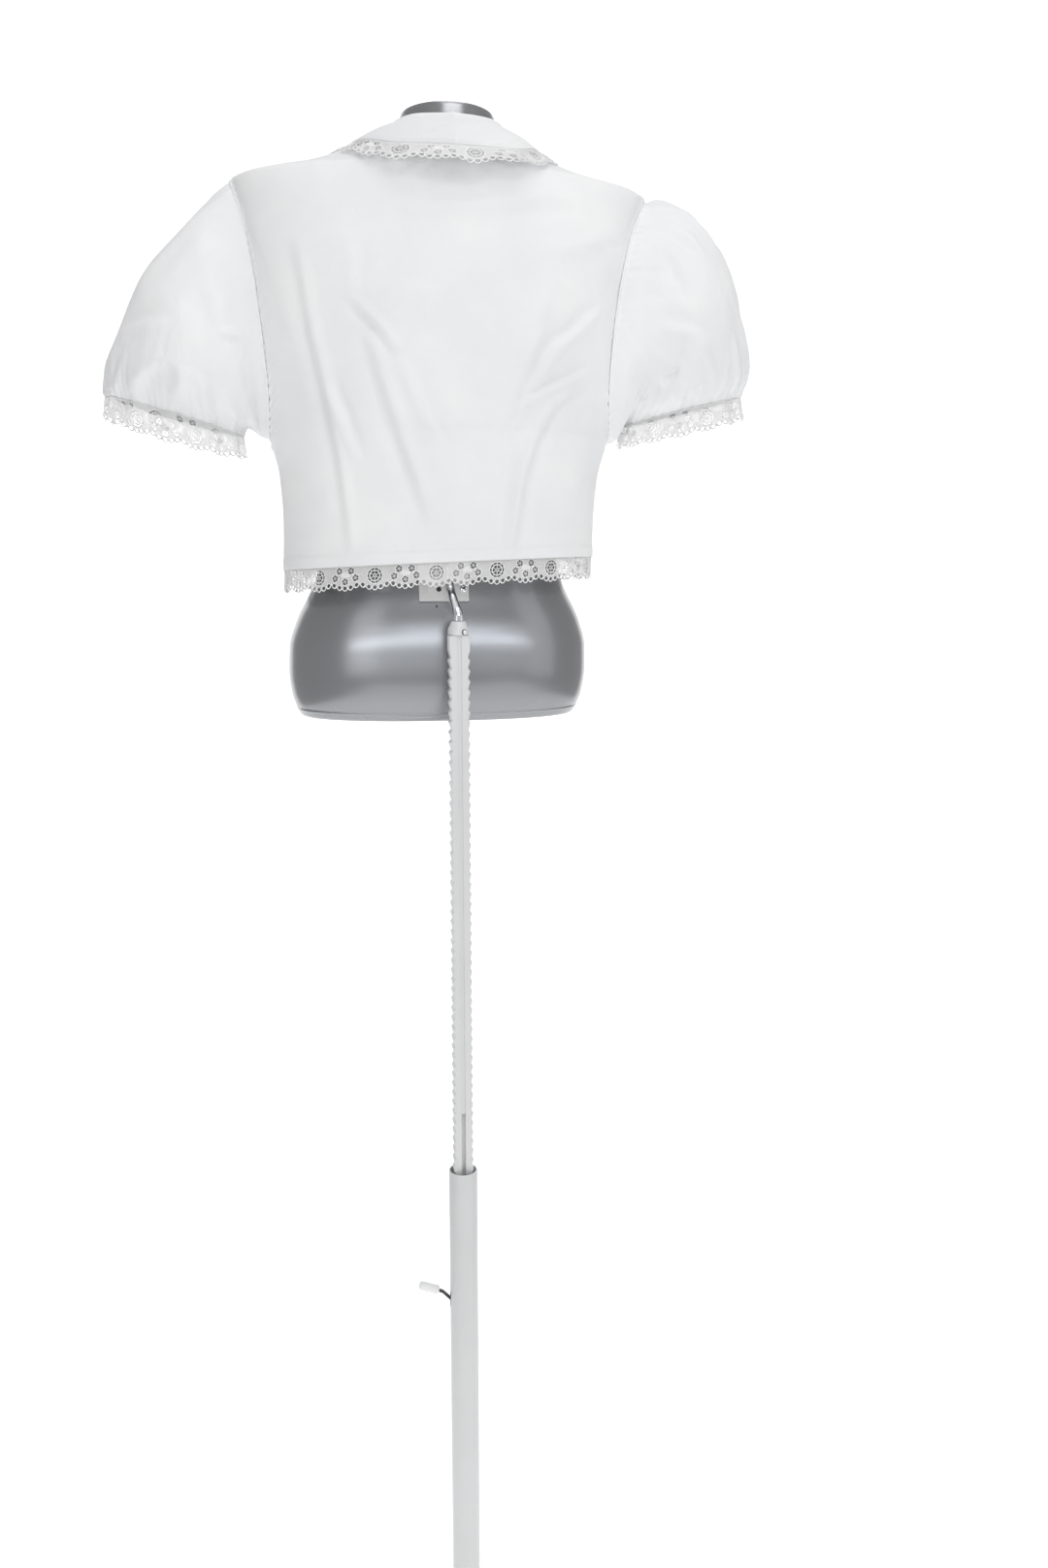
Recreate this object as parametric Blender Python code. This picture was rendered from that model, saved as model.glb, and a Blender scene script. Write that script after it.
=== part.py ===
"""A cropped cotton blouse with puff sleeves, a turned collar and lace trims, worn by a limbless dress
form that hangs on a ratchet stand.

Metres, +Z up. The origin is on the floor on the axis of the stand's pole. +Y is the wearer's front and
-X is the wearer's left. An angle round the body is 0 at the back, 90 degrees at +X and 180 at the front.
"""

import math

import bpy
import numpy as np


def table(names, rows):
    """A table whose columns are read by name; the first one is what the others are read at."""
    return dict(zip(names.split(), np.array(rows).T))


# Cloth and seams
CLOTH = 0.0015
LACE = 0.001
SEAM_GAP = 0.0003
LACE_DEPTH = 0.0245
SCALLOP = 0.0026
SCALLOP_PITCH = 0.0295
CUFF_LACE_FLARE = 0.12
HEM_LACE_END = 0.25

# Heights of the blouse
HEM_Z = 1.2695
HEM_TILT = 0.046
UNDERARM_Z = 1.396
TIP_Z = 1.637
NECK_POINT_Z = 1.671
BACK_NECK_Z = 1.660
LEAN = 0.017
LEAN_PIVOT_Z = 1.5

# The worn body of the blouse: a ring at each height, flattened by its power
BODY = table("z half_width back front centre_y power", [
    (1.230, 0.1630, 0.118, 0.112, 0.134, 2.35),
    (1.310, 0.1620, 0.117, 0.117, 0.133, 2.35),
    (1.360, 0.1655, 0.116, 0.120, 0.131, 2.35),
    (1.396, 0.1740, 0.115, 0.123, 0.129, 2.40),
    (1.440, 0.1790, 0.115, 0.122, 0.127, 2.40),
    (1.500, 0.1880, 0.114, 0.102, 0.124, 2.35),
    (1.560, 0.1960, 0.108, 0.078, 0.120, 2.30),
    (1.600, 0.2020, 0.100, 0.060, 0.118, 2.15),
    (1.637, 0.2075, 0.089, 0.046, 0.116, 1.95),
    (1.648, 0.1550, 0.083, 0.040, 0.113, 1.80),
    (1.656, 0.1250, 0.078, 0.036, 0.109, 1.80),
    (1.664, 0.0950, 0.073, 0.034, 0.105, 1.85),
    (1.674, 0.0560, 0.066, 0.032, 0.098, 2.00),
])

# The dress form inside it
FORM = table("z half_width back front centre_y power", [
    (1.109, 0.1470, 0.0930, 0.0950, 0.137, 2.30),
    (1.116, 0.1510, 0.0970, 0.0975, 0.137, 2.30),
    (1.132, 0.1570, 0.1025, 0.1015, 0.136, 2.30),
    (1.156, 0.1600, 0.1050, 0.1040, 0.135, 2.30),
    (1.182, 0.1593, 0.1045, 0.1030, 0.134, 2.30),
    (1.210, 0.1515, 0.1010, 0.1010, 0.132, 2.30),
    (1.255, 0.1300, 0.0900, 0.0950, 0.129, 2.25),
    (1.310, 0.1180, 0.0840, 0.0900, 0.126, 2.20),
    (1.360, 0.1210, 0.0840, 0.0940, 0.124, 2.20),
    (1.420, 0.1380, 0.0920, 0.1080, 0.122, 2.25),
    (1.480, 0.1520, 0.0990, 0.1000, 0.121, 2.30),
    (1.540, 0.1680, 0.0980, 0.0760, 0.120, 2.25),
    (1.600, 0.1860, 0.0880, 0.0500, 0.117, 2.15),
    (1.628, 0.1800, 0.0760, 0.0380, 0.115, 2.00),
    (1.6415, 0.1640, 0.0660, 0.0330, 0.112, 1.90),
    (1.6492, 0.1450, 0.0610, 0.0310, 0.110, 1.85),
    (1.6553, 0.1250, 0.0580, 0.0250, 0.107, 1.85),
    (1.6633, 0.0930, 0.0550, 0.0260, 0.100, 1.85),
    (1.6700, 0.0640, 0.0520, 0.0400, 0.092, 1.95),
    (1.6780, 0.0505, 0.0505, 0.0440, 0.087, 2.00),
    (1.697, 0.0460, 0.0460, 0.0460, 0.083, 2.00),
])
FORM_WALL = 0.0035
FORM_END_STEP = 0.0012
FORM_EXTRA_ROWS = (1.231, 1.243, 1.268, 1.290)

# Armholes: how far round the body each is cut in, in degrees
ARMHOLE_CUT = {"left": 18.0, "right": 30.0}
FRONT_ARMHOLE_CUT = 30.0
ARMHOLE_GAP = 0.0007
ARMHOLE_RADIUS = 0.11
NECK_SHARE = 0.36
FRONT_LOWER_ROWS = 6
FRONT_UPPER_ROWS = 12
BACK_UPPER_ROWS = 14

# Front neckline as an oval in plan
NECK_HALF_WIDTH = 0.0664
NECK_CENTRE_Y = 0.100
FRONT_NECK_Y = 0.178
LOWEST_NECK_Z = 1.56

# Sleeves: the ring at each step runs from an outer to an inner point and bulges forward and back
SLEEVE_COLUMNS = "step outer_x outer_z inner_x inner_z half_depth centre_y"
SLEEVES = {
    "left": table(SLEEVE_COLUMNS, [
        (0.00, 0.2086, 1.637, 0.1790, 1.3960, 0.050, 0.118),
        (0.06, 0.2210, 1.626, 0.1870, 1.3980, 0.050, 0.118),
        (0.22, 0.2500, 1.594, 0.1910, 1.4020, 0.062, 0.118),
        (0.45, 0.2940, 1.545, 0.1950, 1.4050, 0.071, 0.119),
        (0.65, 0.3160, 1.498, 0.1985, 1.4060, 0.073, 0.119),
        (0.86, 0.3330, 1.455, 0.2030, 1.4045, 0.064, 0.119),
        (1.00, 0.3345, 1.432, 0.2060, 1.3970, 0.043, 0.119),
    ]),
    "right": table(SLEEVE_COLUMNS, [
        (0.00, 0.2080, 1.639, 0.1760, 1.3960, 0.057, 0.118),
        (0.06, 0.2230, 1.641, 0.1840, 1.3990, 0.058, 0.118),
        (0.16, 0.2470, 1.634, 0.1850, 1.4050, 0.066, 0.118),
        (0.34, 0.2850, 1.601, 0.1850, 1.4140, 0.076, 0.119),
        (0.52, 0.3050, 1.564, 0.1850, 1.4200, 0.078, 0.119),
        (0.70, 0.3170, 1.520, 0.1850, 1.4230, 0.076, 0.119),
        (0.88, 0.3250, 1.472, 0.1885, 1.4220, 0.068, 0.119),
        (1.00, 0.3215, 1.446, 0.1920, 1.4150, 0.044, 0.119),
    ]),
}
CUFF_WAVES = 12
CUFF_WAVE_DEPTH = 0.0026
CAP_WAVES = 12
CAP_WAVE_DEPTH = {"left": 0.0005, "right": 0.0014}
CAP_WAVE_STEP = 0.10
CAP_WAVE_RUN = 0.09
SLEEVE_RADIUS = 0.07
SLEEVE_BLEND = 0.22

# Largest folds of the back, from an upper to a lower point of the panel; a negative depth is a ridge
FOLD_COLUMNS = "x_top z_top x_low z_low depth width"
BACK_FOLDS = table(FOLD_COLUMNS, [
    (-0.132, 1.600, -0.098, 1.290, 0.0040, 0.010),
    (-0.100, 1.455, -0.078, 1.375, -0.0035, 0.009),
    (-0.080, 1.540, -0.045, 1.485, 0.0038, 0.008),
    (-0.055, 1.490, -0.002, 1.320, -0.0035, 0.011),
    (-0.020, 1.440, 0.028, 1.290, 0.0025, 0.012),
    (0.176, 1.530, 0.082, 1.425, 0.0040, 0.011),
    (0.150, 1.500, 0.060, 1.290, -0.0038, 0.012),
    (0.150, 1.455, 0.090, 1.330, 0.0040, 0.010),
    (0.098, 1.550, 0.040, 1.360, 0.0028, 0.011),
])
FRONT_FOLDS = table(FOLD_COLUMNS, [
    (-0.130, 1.460, -0.085, 1.290, 0.0040, 0.012),
    (-0.090, 1.470, -0.050, 1.310, -0.0030, 0.012),
    (0.150, 1.480, 0.075, 1.360, 0.0040, 0.012),
    (0.090, 1.450, 0.100, 1.290, -0.0030, 0.013),
    (0.060, 1.440, 0.045, 1.300, 0.0030, 0.011),
])

# Collar: roll line, outer edge and lace edge at angles round the neck
COLLAR = table("angle roll_x roll_y roll_z edge_x edge_y edge_z lace_x lace_y lace_z", [
    (0.0, 0.000, 0.0300, 1.6830, 0.000, 0.0110, 1.6500, 0.000, -0.0030, 1.6370),
    (40.0, 0.034, 0.0450, 1.6850, 0.054, 0.0240, 1.6530, 0.064, 0.0120, 1.6420),
    (70.0, 0.051, 0.0720, 1.6860, 0.086, 0.0600, 1.6650, 0.101, 0.0520, 1.6570),
    (95.0, 0.054, 0.0980, 1.6840, 0.098, 0.1050, 1.6690, 0.117, 0.1090, 1.6640),
    (120.0, 0.053, 0.1310, 1.6705, 0.099, 0.1450, 1.6560, 0.114, 0.1540, 1.6470),
    (145.0, 0.036, 0.1570, 1.6440, 0.083, 0.1740, 1.6170, 0.094, 0.1790, 1.6010),
    (174.0, 0.009, 0.1750, 1.6140, 0.030, 0.2020, 1.5660, 0.032, 0.2100, 1.5450),
])
COLLAR_END = 174.0
COLLAR_COLUMNS = 27
ROLL_RISE = 0.0030
ROLL_OUT = 0.0024
STAND_INSET = 0.0026
STAND_RISE = 0.0014
FALL_OUT = 0.003
FALL_RISE = 0.004

# Placket and buttons
PLACKET_HALF_WIDTH = 0.0125
PLACKET_TOP_Z = 1.590
BUTTON_COUNT = 5
BUTTON_TOP_Z = 1.576
BUTTON_LOW_Z = 1.300
BUTTON_RADIUS = 0.0055
BUTTON_HEIGHT = 0.0022
DISC_SIDE_SHARE = 0.7

# Stand
BASE_RADIUS = 0.165
BASE_HEIGHT = 0.008
BASE_SIDE_Z = 0.005
BASE_EASE = 0.006
EDGE_EASE = 0.001
SOCKET_RADIUS = 0.0215
SOCKET_TOP_Z = 0.042
SOCKET_FLANGE = 0.006
SOCKET_FLANGE_HEIGHT = 0.004
SOCKET_NECK_Z = 0.008
SOCKET_EASE = 0.002
TUBE_RADIUS = 0.015
TUBE_WALL = 0.0015
TUBE_TOP_Z = 0.6405
POST_HALF_WIDTH = 0.0104
NOTCH_DEPTH = 0.0019
NOTCH_PITCH = 0.0102
NOTCH_LOW_Z = 0.440
NOTCH_TOP_MARGIN = 0.008
NOTCH_SLANT = 0.28
POST_HALF_DEPTH = 0.0080
POST_LOW_Z = 0.260
POST_TOP_Z = 1.1985
GUIDE_LOW_Z = 0.220
GUIDE_CLEARANCE = 0.0003
GUIDE_EASE = 0.002
CAP_HEIGHT = 0.0135
CAP_SIDE_HEIGHT = 0.006
CAP_TOP_RADIUS = 0.0070
SET_SCREW_RADIUS = 0.0022
SET_SCREW_HEIGHT = 0.0014
SET_SCREW_RISE = 0.0032
SET_SCREW_AXIS = (0.45, -0.89, 0.0)

# Rod from the cap up to the back plate
ROD = table("x y z radius", [
    (0.0000, 0.0000, 1.2128, 0.0058),
    (0.0000, 0.0000, 1.2160, 0.0053),
    (-0.0006, 0.0032, 1.2208, 0.0051),
    (-0.0017, 0.0092, 1.2262, 0.0048),
    (-0.0031, 0.0172, 1.2338, 0.0046),
    (-0.0045, 0.0245, 1.2425, 0.0043),
    (-0.0055, 0.0275, 1.2520, 0.0041),
    (-0.0060, 0.0285, 1.2640, 0.0040),
    (-0.0060, 0.0293, 1.2700, 0.0040),
])
ROD_END_Z = 1.2780
ROD_END_GAP = 0.0008
ROD_END_RUN = 0.0035
ROD_END_DROP = 0.0005
ROD_END_RADII = (0.0036, 0.0032)

# Back plate
PLATE_X = -0.010
PLATE_HALF_WIDTH = 0.0250
PLATE_LOW_Z = 1.231
PLATE_TOP_Z = 1.300
PLATE_THICKNESS = 0.0022
PLATE_SCREW = (0.0095, 1.2435)
PLATE_SCREW_RADIUS = 0.0034
PLATE_SCREW_HEIGHT = 0.0012

# Ratchet lever in the left wall of the tube, which turns about its second point
LEVER_HALF_WIDTH = 0.0020
LEVER_SLOT = (0.0025, 0.4860, 0.5020)
LEVER = table("x z half_thickness", [
    (-0.0112, 0.4915, 0.0006),
    (-0.0142, 0.4935, 0.0010),
    (-0.0185, 0.4985, 0.0012),
    (-0.0225, 0.5028, 0.0011),
    (-0.0272, 0.5052, 0.0011),
])
GRIP_START = (-0.0276, 0.5054)
GRIP_END = (-0.0475, 0.5130)
GRIP_RADIUS = 0.0049

COLOURS = {
    "cotton": ((0.90, 0.91, 0.92), 0.85, 0.0),
    "lace": ((0.93, 0.93, 0.92), 0.80, 0.0),
    "button": ((0.90, 0.90, 0.88), 0.25, 0.0),
    "form_grey": ((0.36, 0.37, 0.39), 0.32, 0.35),
    "white_paint": ((0.86, 0.87, 0.88), 0.40, 0.0),
    "plate": ((0.72, 0.71, 0.70), 0.45, 0.0),
    "chrome": ((0.85, 0.86, 0.88), 0.10, 1.0),
    "dark_steel": ((0.16, 0.16, 0.15), 0.45, 0.8),
    "grip": ((0.88, 0.89, 0.90), 0.50, 0.0),
}


def clear_scene():
    for item in list(bpy.data.objects):
        bpy.data.objects.remove(item, do_unlink=True)


def material(name):
    found = bpy.data.materials.get(name)
    if found:
        return found
    colour, roughness, metallic = COLOURS[name]
    made = bpy.data.materials.new(name)
    made.use_nodes = True
    shader = made.node_tree.nodes["Principled BSDF"]
    shader.inputs["Base Color"].default_value = (*colour, 1.0)
    shader.inputs["Roughness"].default_value = roughness
    shader.inputs["Metallic"].default_value = metallic
    made.diffuse_color = (*colour, 1.0)
    return made


def add_object(name, points, faces, colour, smooth_angle=40.0):
    """Makes a mesh object whose faces point outwards: a body with a negative volume is turned."""
    points = np.asarray(points, float)
    volume = 0.0
    for face in faces:
        corner = points[face[0]]
        for second, third in zip(face[1:-1], face[2:]):
            volume += np.dot(corner, np.cross(points[second], points[third]))
    if volume < 0:
        faces = [face[::-1] for face in faces]
    mesh = bpy.data.meshes.new(name)
    mesh.from_pydata([tuple(point) for point in points], [], [tuple(face) for face in faces])
    mesh.shade_smooth()
    mesh.set_sharp_from_angle(angle=math.radians(smooth_angle))
    mesh.materials.append(material(colour))
    item = bpy.data.objects.new(name, mesh)
    bpy.context.scene.collection.objects.link(item)
    return item


def column(source, name, at):
    """Reads one column of a table at any value of its first column, on a cubic that never overshoots."""
    rows, values = next(iter(source.values())), source[name]
    at = np.clip(at, rows[0], rows[-1])
    rise = np.diff(values) / np.diff(rows)
    before, after = rise[:-1], rise[1:]
    same_way = before * after > 0
    mean = 2 * before * after / np.where(same_way, before + after, 1.0)
    slope = np.concatenate([rise[:1], np.where(same_way, mean, 0.0), rise[-1:]])
    low = np.clip(np.searchsorted(rows, at, side="right") - 1, 0, len(rows) - 2)
    step = rows[low + 1] - rows[low]
    part = (at - rows[low]) / step
    keep = 2 * part**3 - 3 * part**2 + 1
    return (keep * values[low] + (1 - keep) * values[low + 1]
            + (part**3 - 2 * part**2 + part) * step * slope[low]
            + (part**3 - part**2) * step * slope[low + 1])


def ring_point(source, angle, z):
    """A point of the flattened ring at this height; the angle is in degrees."""
    sine, cosine = np.sin(np.radians(angle)), np.cos(np.radians(angle))
    power = column(source, "power", z)
    depth = np.where(cosine > 0, column(source, "back", z), column(source, "front", z))
    x = column(source, "half_width", z) * np.sign(sine) * np.abs(sine)**(2 / power)
    y = column(source, "centre_y", z) - depth * np.sign(cosine) * np.abs(cosine)**(2 / power)
    return np.stack([x + LEAN * (z - LEAN_PIVOT_Z), y, z + 0 * x], axis=-1)


def fold_height(folds, x, z):
    """Sum of soft troughs: each is deepest half way along its line and fades to its ends and sides."""
    total = np.zeros(np.shape(x))
    for x_top, z_top, x_low, z_low, depth, width in zip(*folds.values()):
        along = np.array([x_low - x_top, z_low - z_top])
        length = np.hypot(*along)
        run = ((x - x_top) * along[0] + (z - z_top) * along[1]) / length**2
        side = ((x - x_top) * along[1] - (z - z_top) * along[0]) / length
        fade = np.clip(1 - (2 * run - 1)**4, 0, 1) * (np.abs(2 * run - 1) < 1)
        total -= depth * fade * np.exp(-(side / width)**2)
    return total


def outward(place, angle, z):
    """Unit normal of a surface given as place(angle, z), by central differences."""
    round_step, up_step = 0.6, 0.0012
    across = place(angle + round_step, z) - place(angle - round_step, z)
    upward = place(angle, z + up_step) - place(angle, z - up_step)
    normal = np.cross(across, upward)
    return normal / np.linalg.norm(normal, axis=-1, keepdims=True)


def body_surface(angle, z):
    return ring_point(BODY, angle, z)


def worn_surface(angle, z, folds):
    """The blouse's inner face and its outward normal, with the folds of the panel."""
    base = body_surface(angle, z)
    normal = outward(body_surface, angle, z)
    relief = fold_height(folds, base[..., 0], z)
    return base + normal * relief[..., None], normal


def grid_faces(rows, columns, start, closed):
    """Quads of a grid of rows by columns, whose columns may close into a tube."""
    across = columns if closed else columns - 1
    faces = []
    for row in range(rows - 1):
        for place in range(across):
            after = (place + 1) % columns
            low, high = start + row * columns, start + (row + 1) * columns
            faces.append((low + place, low + after, high + after, high + place))
    return faces


def triangles(quads):
    """Every quad split along its first diagonal, so that two grids a wall apart bend alike."""
    return [corners for a, b, c, d in quads for corners in ((a, b, c), (a, c, d))]


def add_wall(name, outer, inner, colour, closed=False, capped=False):
    """A closed wall between two grids; a capped one ends in a full face at its last row."""
    rows, columns = outer.shape[:2]
    points = np.concatenate([outer.reshape(-1, 3), inner.reshape(-1, 3)])
    under = rows * columns
    faces = triangles(grid_faces(rows, columns, 0, closed))
    faces += [face[::-1] for face in triangles(grid_faces(rows, columns, under, closed))]
    last = (rows - 1) * columns
    for place in range(columns if closed else columns - 1):
        after = (place + 1) % columns
        faces.append((after, place, under + place, under + after))
        if not capped:
            faces.append((last + place, last + after, under + last + after, under + last + place))
    if capped:
        faces.append(tuple(last + place for place in range(columns)))
        faces.append(tuple(under + last + place for place in reversed(range(columns))))
    if not closed:
        for row in range(rows - 1):
            low, high = row * columns, (row + 1) * columns
            faces.append((low, high, under + high, under + low))
            low, high = low + columns - 1, high + columns - 1
            faces.append((high, low, under + low, under + high))
    return add_object(name, points, faces, colour)


def seam_angle(z, half_gap=SEAM_GAP / 2):
    """Angle of a side or shoulder seam's edge, so that two panels there stay a seam gap apart."""
    depth = np.minimum(column(BODY, "back", z), column(BODY, "front", z))
    return np.degrees(np.arccos((half_gap / depth)**(column(BODY, "power", z) / 2)))


def armhole_edge(share, cut, inset=0.0):
    """Angle and height of the armhole edge, from the underarm at share 0 to the shoulder tip at 1."""
    middle, half = (TIP_Z + UNDERARM_Z) / 2, (TIP_Z - UNDERARM_Z) / 2 - inset
    z = middle - half * np.cos(np.pi * share)
    inset_angle = np.degrees(inset / ARMHOLE_RADIUS)
    return seam_angle(z) - (cut - inset_angle) * np.sin(np.pi * share)**0.8, z


def hem_height(angle):
    return HEM_Z + HEM_TILT * body_surface(angle, np.full(np.shape(angle), HEM_Z))[..., 0]


def back_neck(angle):
    return BACK_NECK_Z + (NECK_POINT_Z - BACK_NECK_Z) * np.sin(np.radians(angle))**2


def front_neck(turn):
    """Angle and height where the oval neckline crosses the body; turn is 0 at the centre front."""
    x = NECK_HALF_WIDTH * np.sin(np.radians(turn))
    y = NECK_CENTRE_Y + (FRONT_NECK_Y - NECK_CENTRE_Y) * np.cos(np.radians(turn))
    low, high = np.full(np.shape(turn), LOWEST_NECK_Z), np.full(np.shape(turn), NECK_POINT_Z + 0.001)
    for _ in range(30):
        z = (low + high) / 2
        power = column(BODY, "power", z)
        across = x / column(BODY, "half_width", z)
        forward = np.maximum(y - column(BODY, "centre_y", z), 0) / column(BODY, "front", z)
        inside = across**power + forward**power < 1
        low, high = np.where(inside, z, low), np.where(inside, high, z)
    across, forward = across**(power / 2), forward**(power / 2)
    return np.degrees(np.arctan2(across, -forward)), z


def patch(low, high, left, right):
    """A surface net between four edges, each given as (angle, height) pairs."""
    rows, columns = len(left), len(low)
    up = np.linspace(0, 1, rows)[:, None, None]
    across = np.linspace(0, 1, columns)[None, :, None]
    net = (1 - up) * low[None] + up * high[None] + (1 - across) * left[:, None] + across * right[:, None]
    net -= (1 - up) * ((1 - across) * low[0] + across * low[-1])
    net -= up * ((1 - across) * high[0] + across * high[-1])
    return net


def pairs(angle, z):
    return np.stack([angle + 0 * z, z + 0 * angle], axis=-1)


def lower_net(low_angle, rows):
    """The net from the hem to the underarm, whose columns keep their share of the way round."""
    hem = hem_height(low_angle)
    up = np.linspace(0, 1, rows)[:, None]
    return pairs(low_angle[None] + 0 * up, hem[None] + (UNDERARM_Z - hem[None]) * up)


def add_panel(name, net, folds):
    inner, normal = worn_surface(net[..., 0], net[..., 1], folds)
    return add_wall(name, inner + normal * CLOTH, inner, "cotton")


def add_back(columns=21, lower_rows=7, upper_rows=BACK_UPPER_ROWS):
    """The back in one piece, cut in at both armholes and along the neck and the shoulders."""
    share = np.linspace(-1, 1, columns)
    side = seam_angle(UNDERARM_Z)
    low = share * side
    neck = np.clip(np.abs(share) / NECK_SHARE, 0, 1)
    slope = np.clip((np.abs(share) - NECK_SHARE) / (1 - NECK_SHARE), 0, 1)
    z_shoulder = NECK_POINT_Z + (TIP_Z - NECK_POINT_Z) * slope
    angle = np.where(slope > 0, seam_angle(z_shoulder), neck * seam_angle(NECK_POINT_Z))
    z_top = np.where(slope > 0, z_shoulder, back_neck(neck * 90))
    top = pairs(np.sign(share) * angle, z_top)
    rise = np.linspace(0, 1, upper_rows)
    left = pairs(*armhole_edge(rise, ARMHOLE_CUT["left"])) * (-1, 1)
    right = pairs(*armhole_edge(rise, ARMHOLE_CUT["right"]))
    upper = patch(pairs(low, np.full(columns, UNDERARM_Z)), top, left, right)
    net = np.concatenate([lower_net(low, lower_rows)[:-1], upper])
    return add_panel("back", net, BACK_FOLDS)


def add_front(name, side_sign, columns=11, lower_rows=FRONT_LOWER_ROWS, upper_rows=FRONT_UPPER_ROWS):
    """One front, from the centre-front edge round to the side seam, the armhole and the shoulder."""
    share = np.linspace(0, 1, columns)
    half_width = column(BODY, "half_width", UNDERARM_Z)
    edge = np.degrees(np.arcsin((SEAM_GAP / 2 / half_width)**(column(BODY, "power", UNDERARM_Z) / 2)))
    side = 180 - seam_angle(UNDERARM_Z)
    low = (180 - edge) + (side - 180 + edge) * share
    turn = np.clip(share / NECK_SHARE, 0, 1) * 90
    slope = np.clip((share - NECK_SHARE) / (1 - NECK_SHARE), 0, 1)
    z_shoulder = NECK_POINT_Z + (TIP_Z - NECK_POINT_Z) * slope
    neck_angle, z_neck = front_neck(turn)
    neck_angle = np.clip(neck_angle, 180 - seam_angle(NECK_POINT_Z), 180 - edge)
    angle = np.where(slope > 0, 180 - seam_angle(z_shoulder), neck_angle)
    top = pairs(angle, np.where(slope > 0, z_shoulder, z_neck))
    rise = np.linspace(0, 1, upper_rows)
    arm_angle, z_arm = armhole_edge(rise, FRONT_ARMHOLE_CUT)
    arm = pairs(180 - arm_angle, z_arm)
    centre = pairs(np.full(upper_rows, 180 - edge), UNDERARM_Z + (z_neck[0] - UNDERARM_Z) * rise)
    upper = patch(pairs(low, np.full(columns, UNDERARM_Z)), top, centre, arm)
    net = np.concatenate([lower_net(side_sign * low, lower_rows)[:-1], upper * (side_sign, 1)])
    return add_panel(name, net, FRONT_FOLDS)


def placket_angle(offset, z):
    """Angle at which the front lies this far from its centre."""
    reach = np.abs(offset) / column(BODY, "half_width", z)
    return 180 - np.sign(offset) * np.degrees(np.arcsin(reach**(column(BODY, "power", z) / 2)))


def add_placket(columns=5):
    """The button band, laid over both front edges, with its rows at the heights of theirs."""
    offset = np.linspace(-PLACKET_HALF_WIDTH, PLACKET_HALF_WIDTH, columns)[None]
    low = hem_height(np.array([180.0]))[0]
    z_neck = front_neck(np.array([0.0]))[1][0]
    lower = np.linspace(low, UNDERARM_Z, FRONT_LOWER_ROWS)[:-1]
    upper = np.linspace(UNDERARM_Z, z_neck, FRONT_UPPER_ROWS)[:-1]
    z = np.concatenate([lower, upper, (PLACKET_TOP_Z,)])
    z[0] += SEAM_GAP
    z = z[:, None] + 0 * offset
    base, normal = worn_surface(placket_angle(offset, z), z, FRONT_FOLDS)
    lift = CLOTH + 2 * SEAM_GAP
    return add_wall("placket", base + normal * (lift + CLOTH), base + normal * lift, "cotton")


def disc(centre, axis, radius, height, segments=12, rim=0.25):
    """Points and faces of a round button or screw head standing on its centre along the axis."""
    axis = np.asarray(axis, float) / np.linalg.norm(axis)
    side = np.cross(axis, (0.0, 0.0, 1.0) if abs(axis[2]) < 0.9 else (1.0, 0.0, 0.0))
    side /= np.linalg.norm(side)
    other = np.cross(axis, side)
    profile = [(radius, 0.0), (radius, height * DISC_SIDE_SHARE), (radius * (1 - rim), height)]
    turn = np.linspace(0, 2 * np.pi, segments, endpoint=False)
    around = np.outer(np.cos(turn), side) + np.outer(np.sin(turn), other)
    points = np.concatenate([centre + around * reach + axis * up for reach, up in profile])
    faces = grid_faces(len(profile), segments, 0, True)
    faces.append(tuple(reversed(range(segments))))
    faces.append(tuple(range((len(profile) - 1) * segments, len(profile) * segments)))
    return points, faces


def add_buttons():
    """Round buttons at even heights on the placket."""
    lift = 2 * CLOTH + 4 * SEAM_GAP
    for number, z in enumerate(np.linspace(BUTTON_LOW_Z, BUTTON_TOP_Z, BUTTON_COUNT)):
        base, normal = worn_surface(np.array([180.0]), np.array([z]), FRONT_FOLDS)
        points, faces = disc(base[0] + normal[0] * lift, normal[0], BUTTON_RADIUS, BUTTON_HEIGHT)
        add_object(f"button_{number + 1}", points, faces, "button")


def armhole_loop(turn, sign, cut_back, cut_front):
    """Points just inside both panels' armhole edges, and the body's normal there; turn 0 is the tip."""
    share = np.arccos(-np.cos(turn)) / np.pi
    behind = np.sin(turn) >= 0
    found = []
    for cut, rows, front in ((cut_back, BACK_UPPER_ROWS, False), (cut_front, FRONT_UPPER_ROWS, True)):
        knots = np.linspace(0, 1, rows)
        angle, z = armhole_edge(knots, cut, ARMHOLE_GAP)
        angle = angle + np.degrees(ARMHOLE_GAP / 2 / ARMHOLE_RADIUS)
        angle = sign * np.where(front, 180 - angle, angle)
        both = np.concatenate([body_surface(angle, z), outward(body_surface, angle, z)], axis=1)
        found.append(np.stack([np.interp(share, knots, value) for value in both.T], axis=1))
    both = np.where(behind[:, None], *found)
    return both[:, :3], both[:, 3:] / np.linalg.norm(both[:, 3:], axis=1, keepdims=True)


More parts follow.
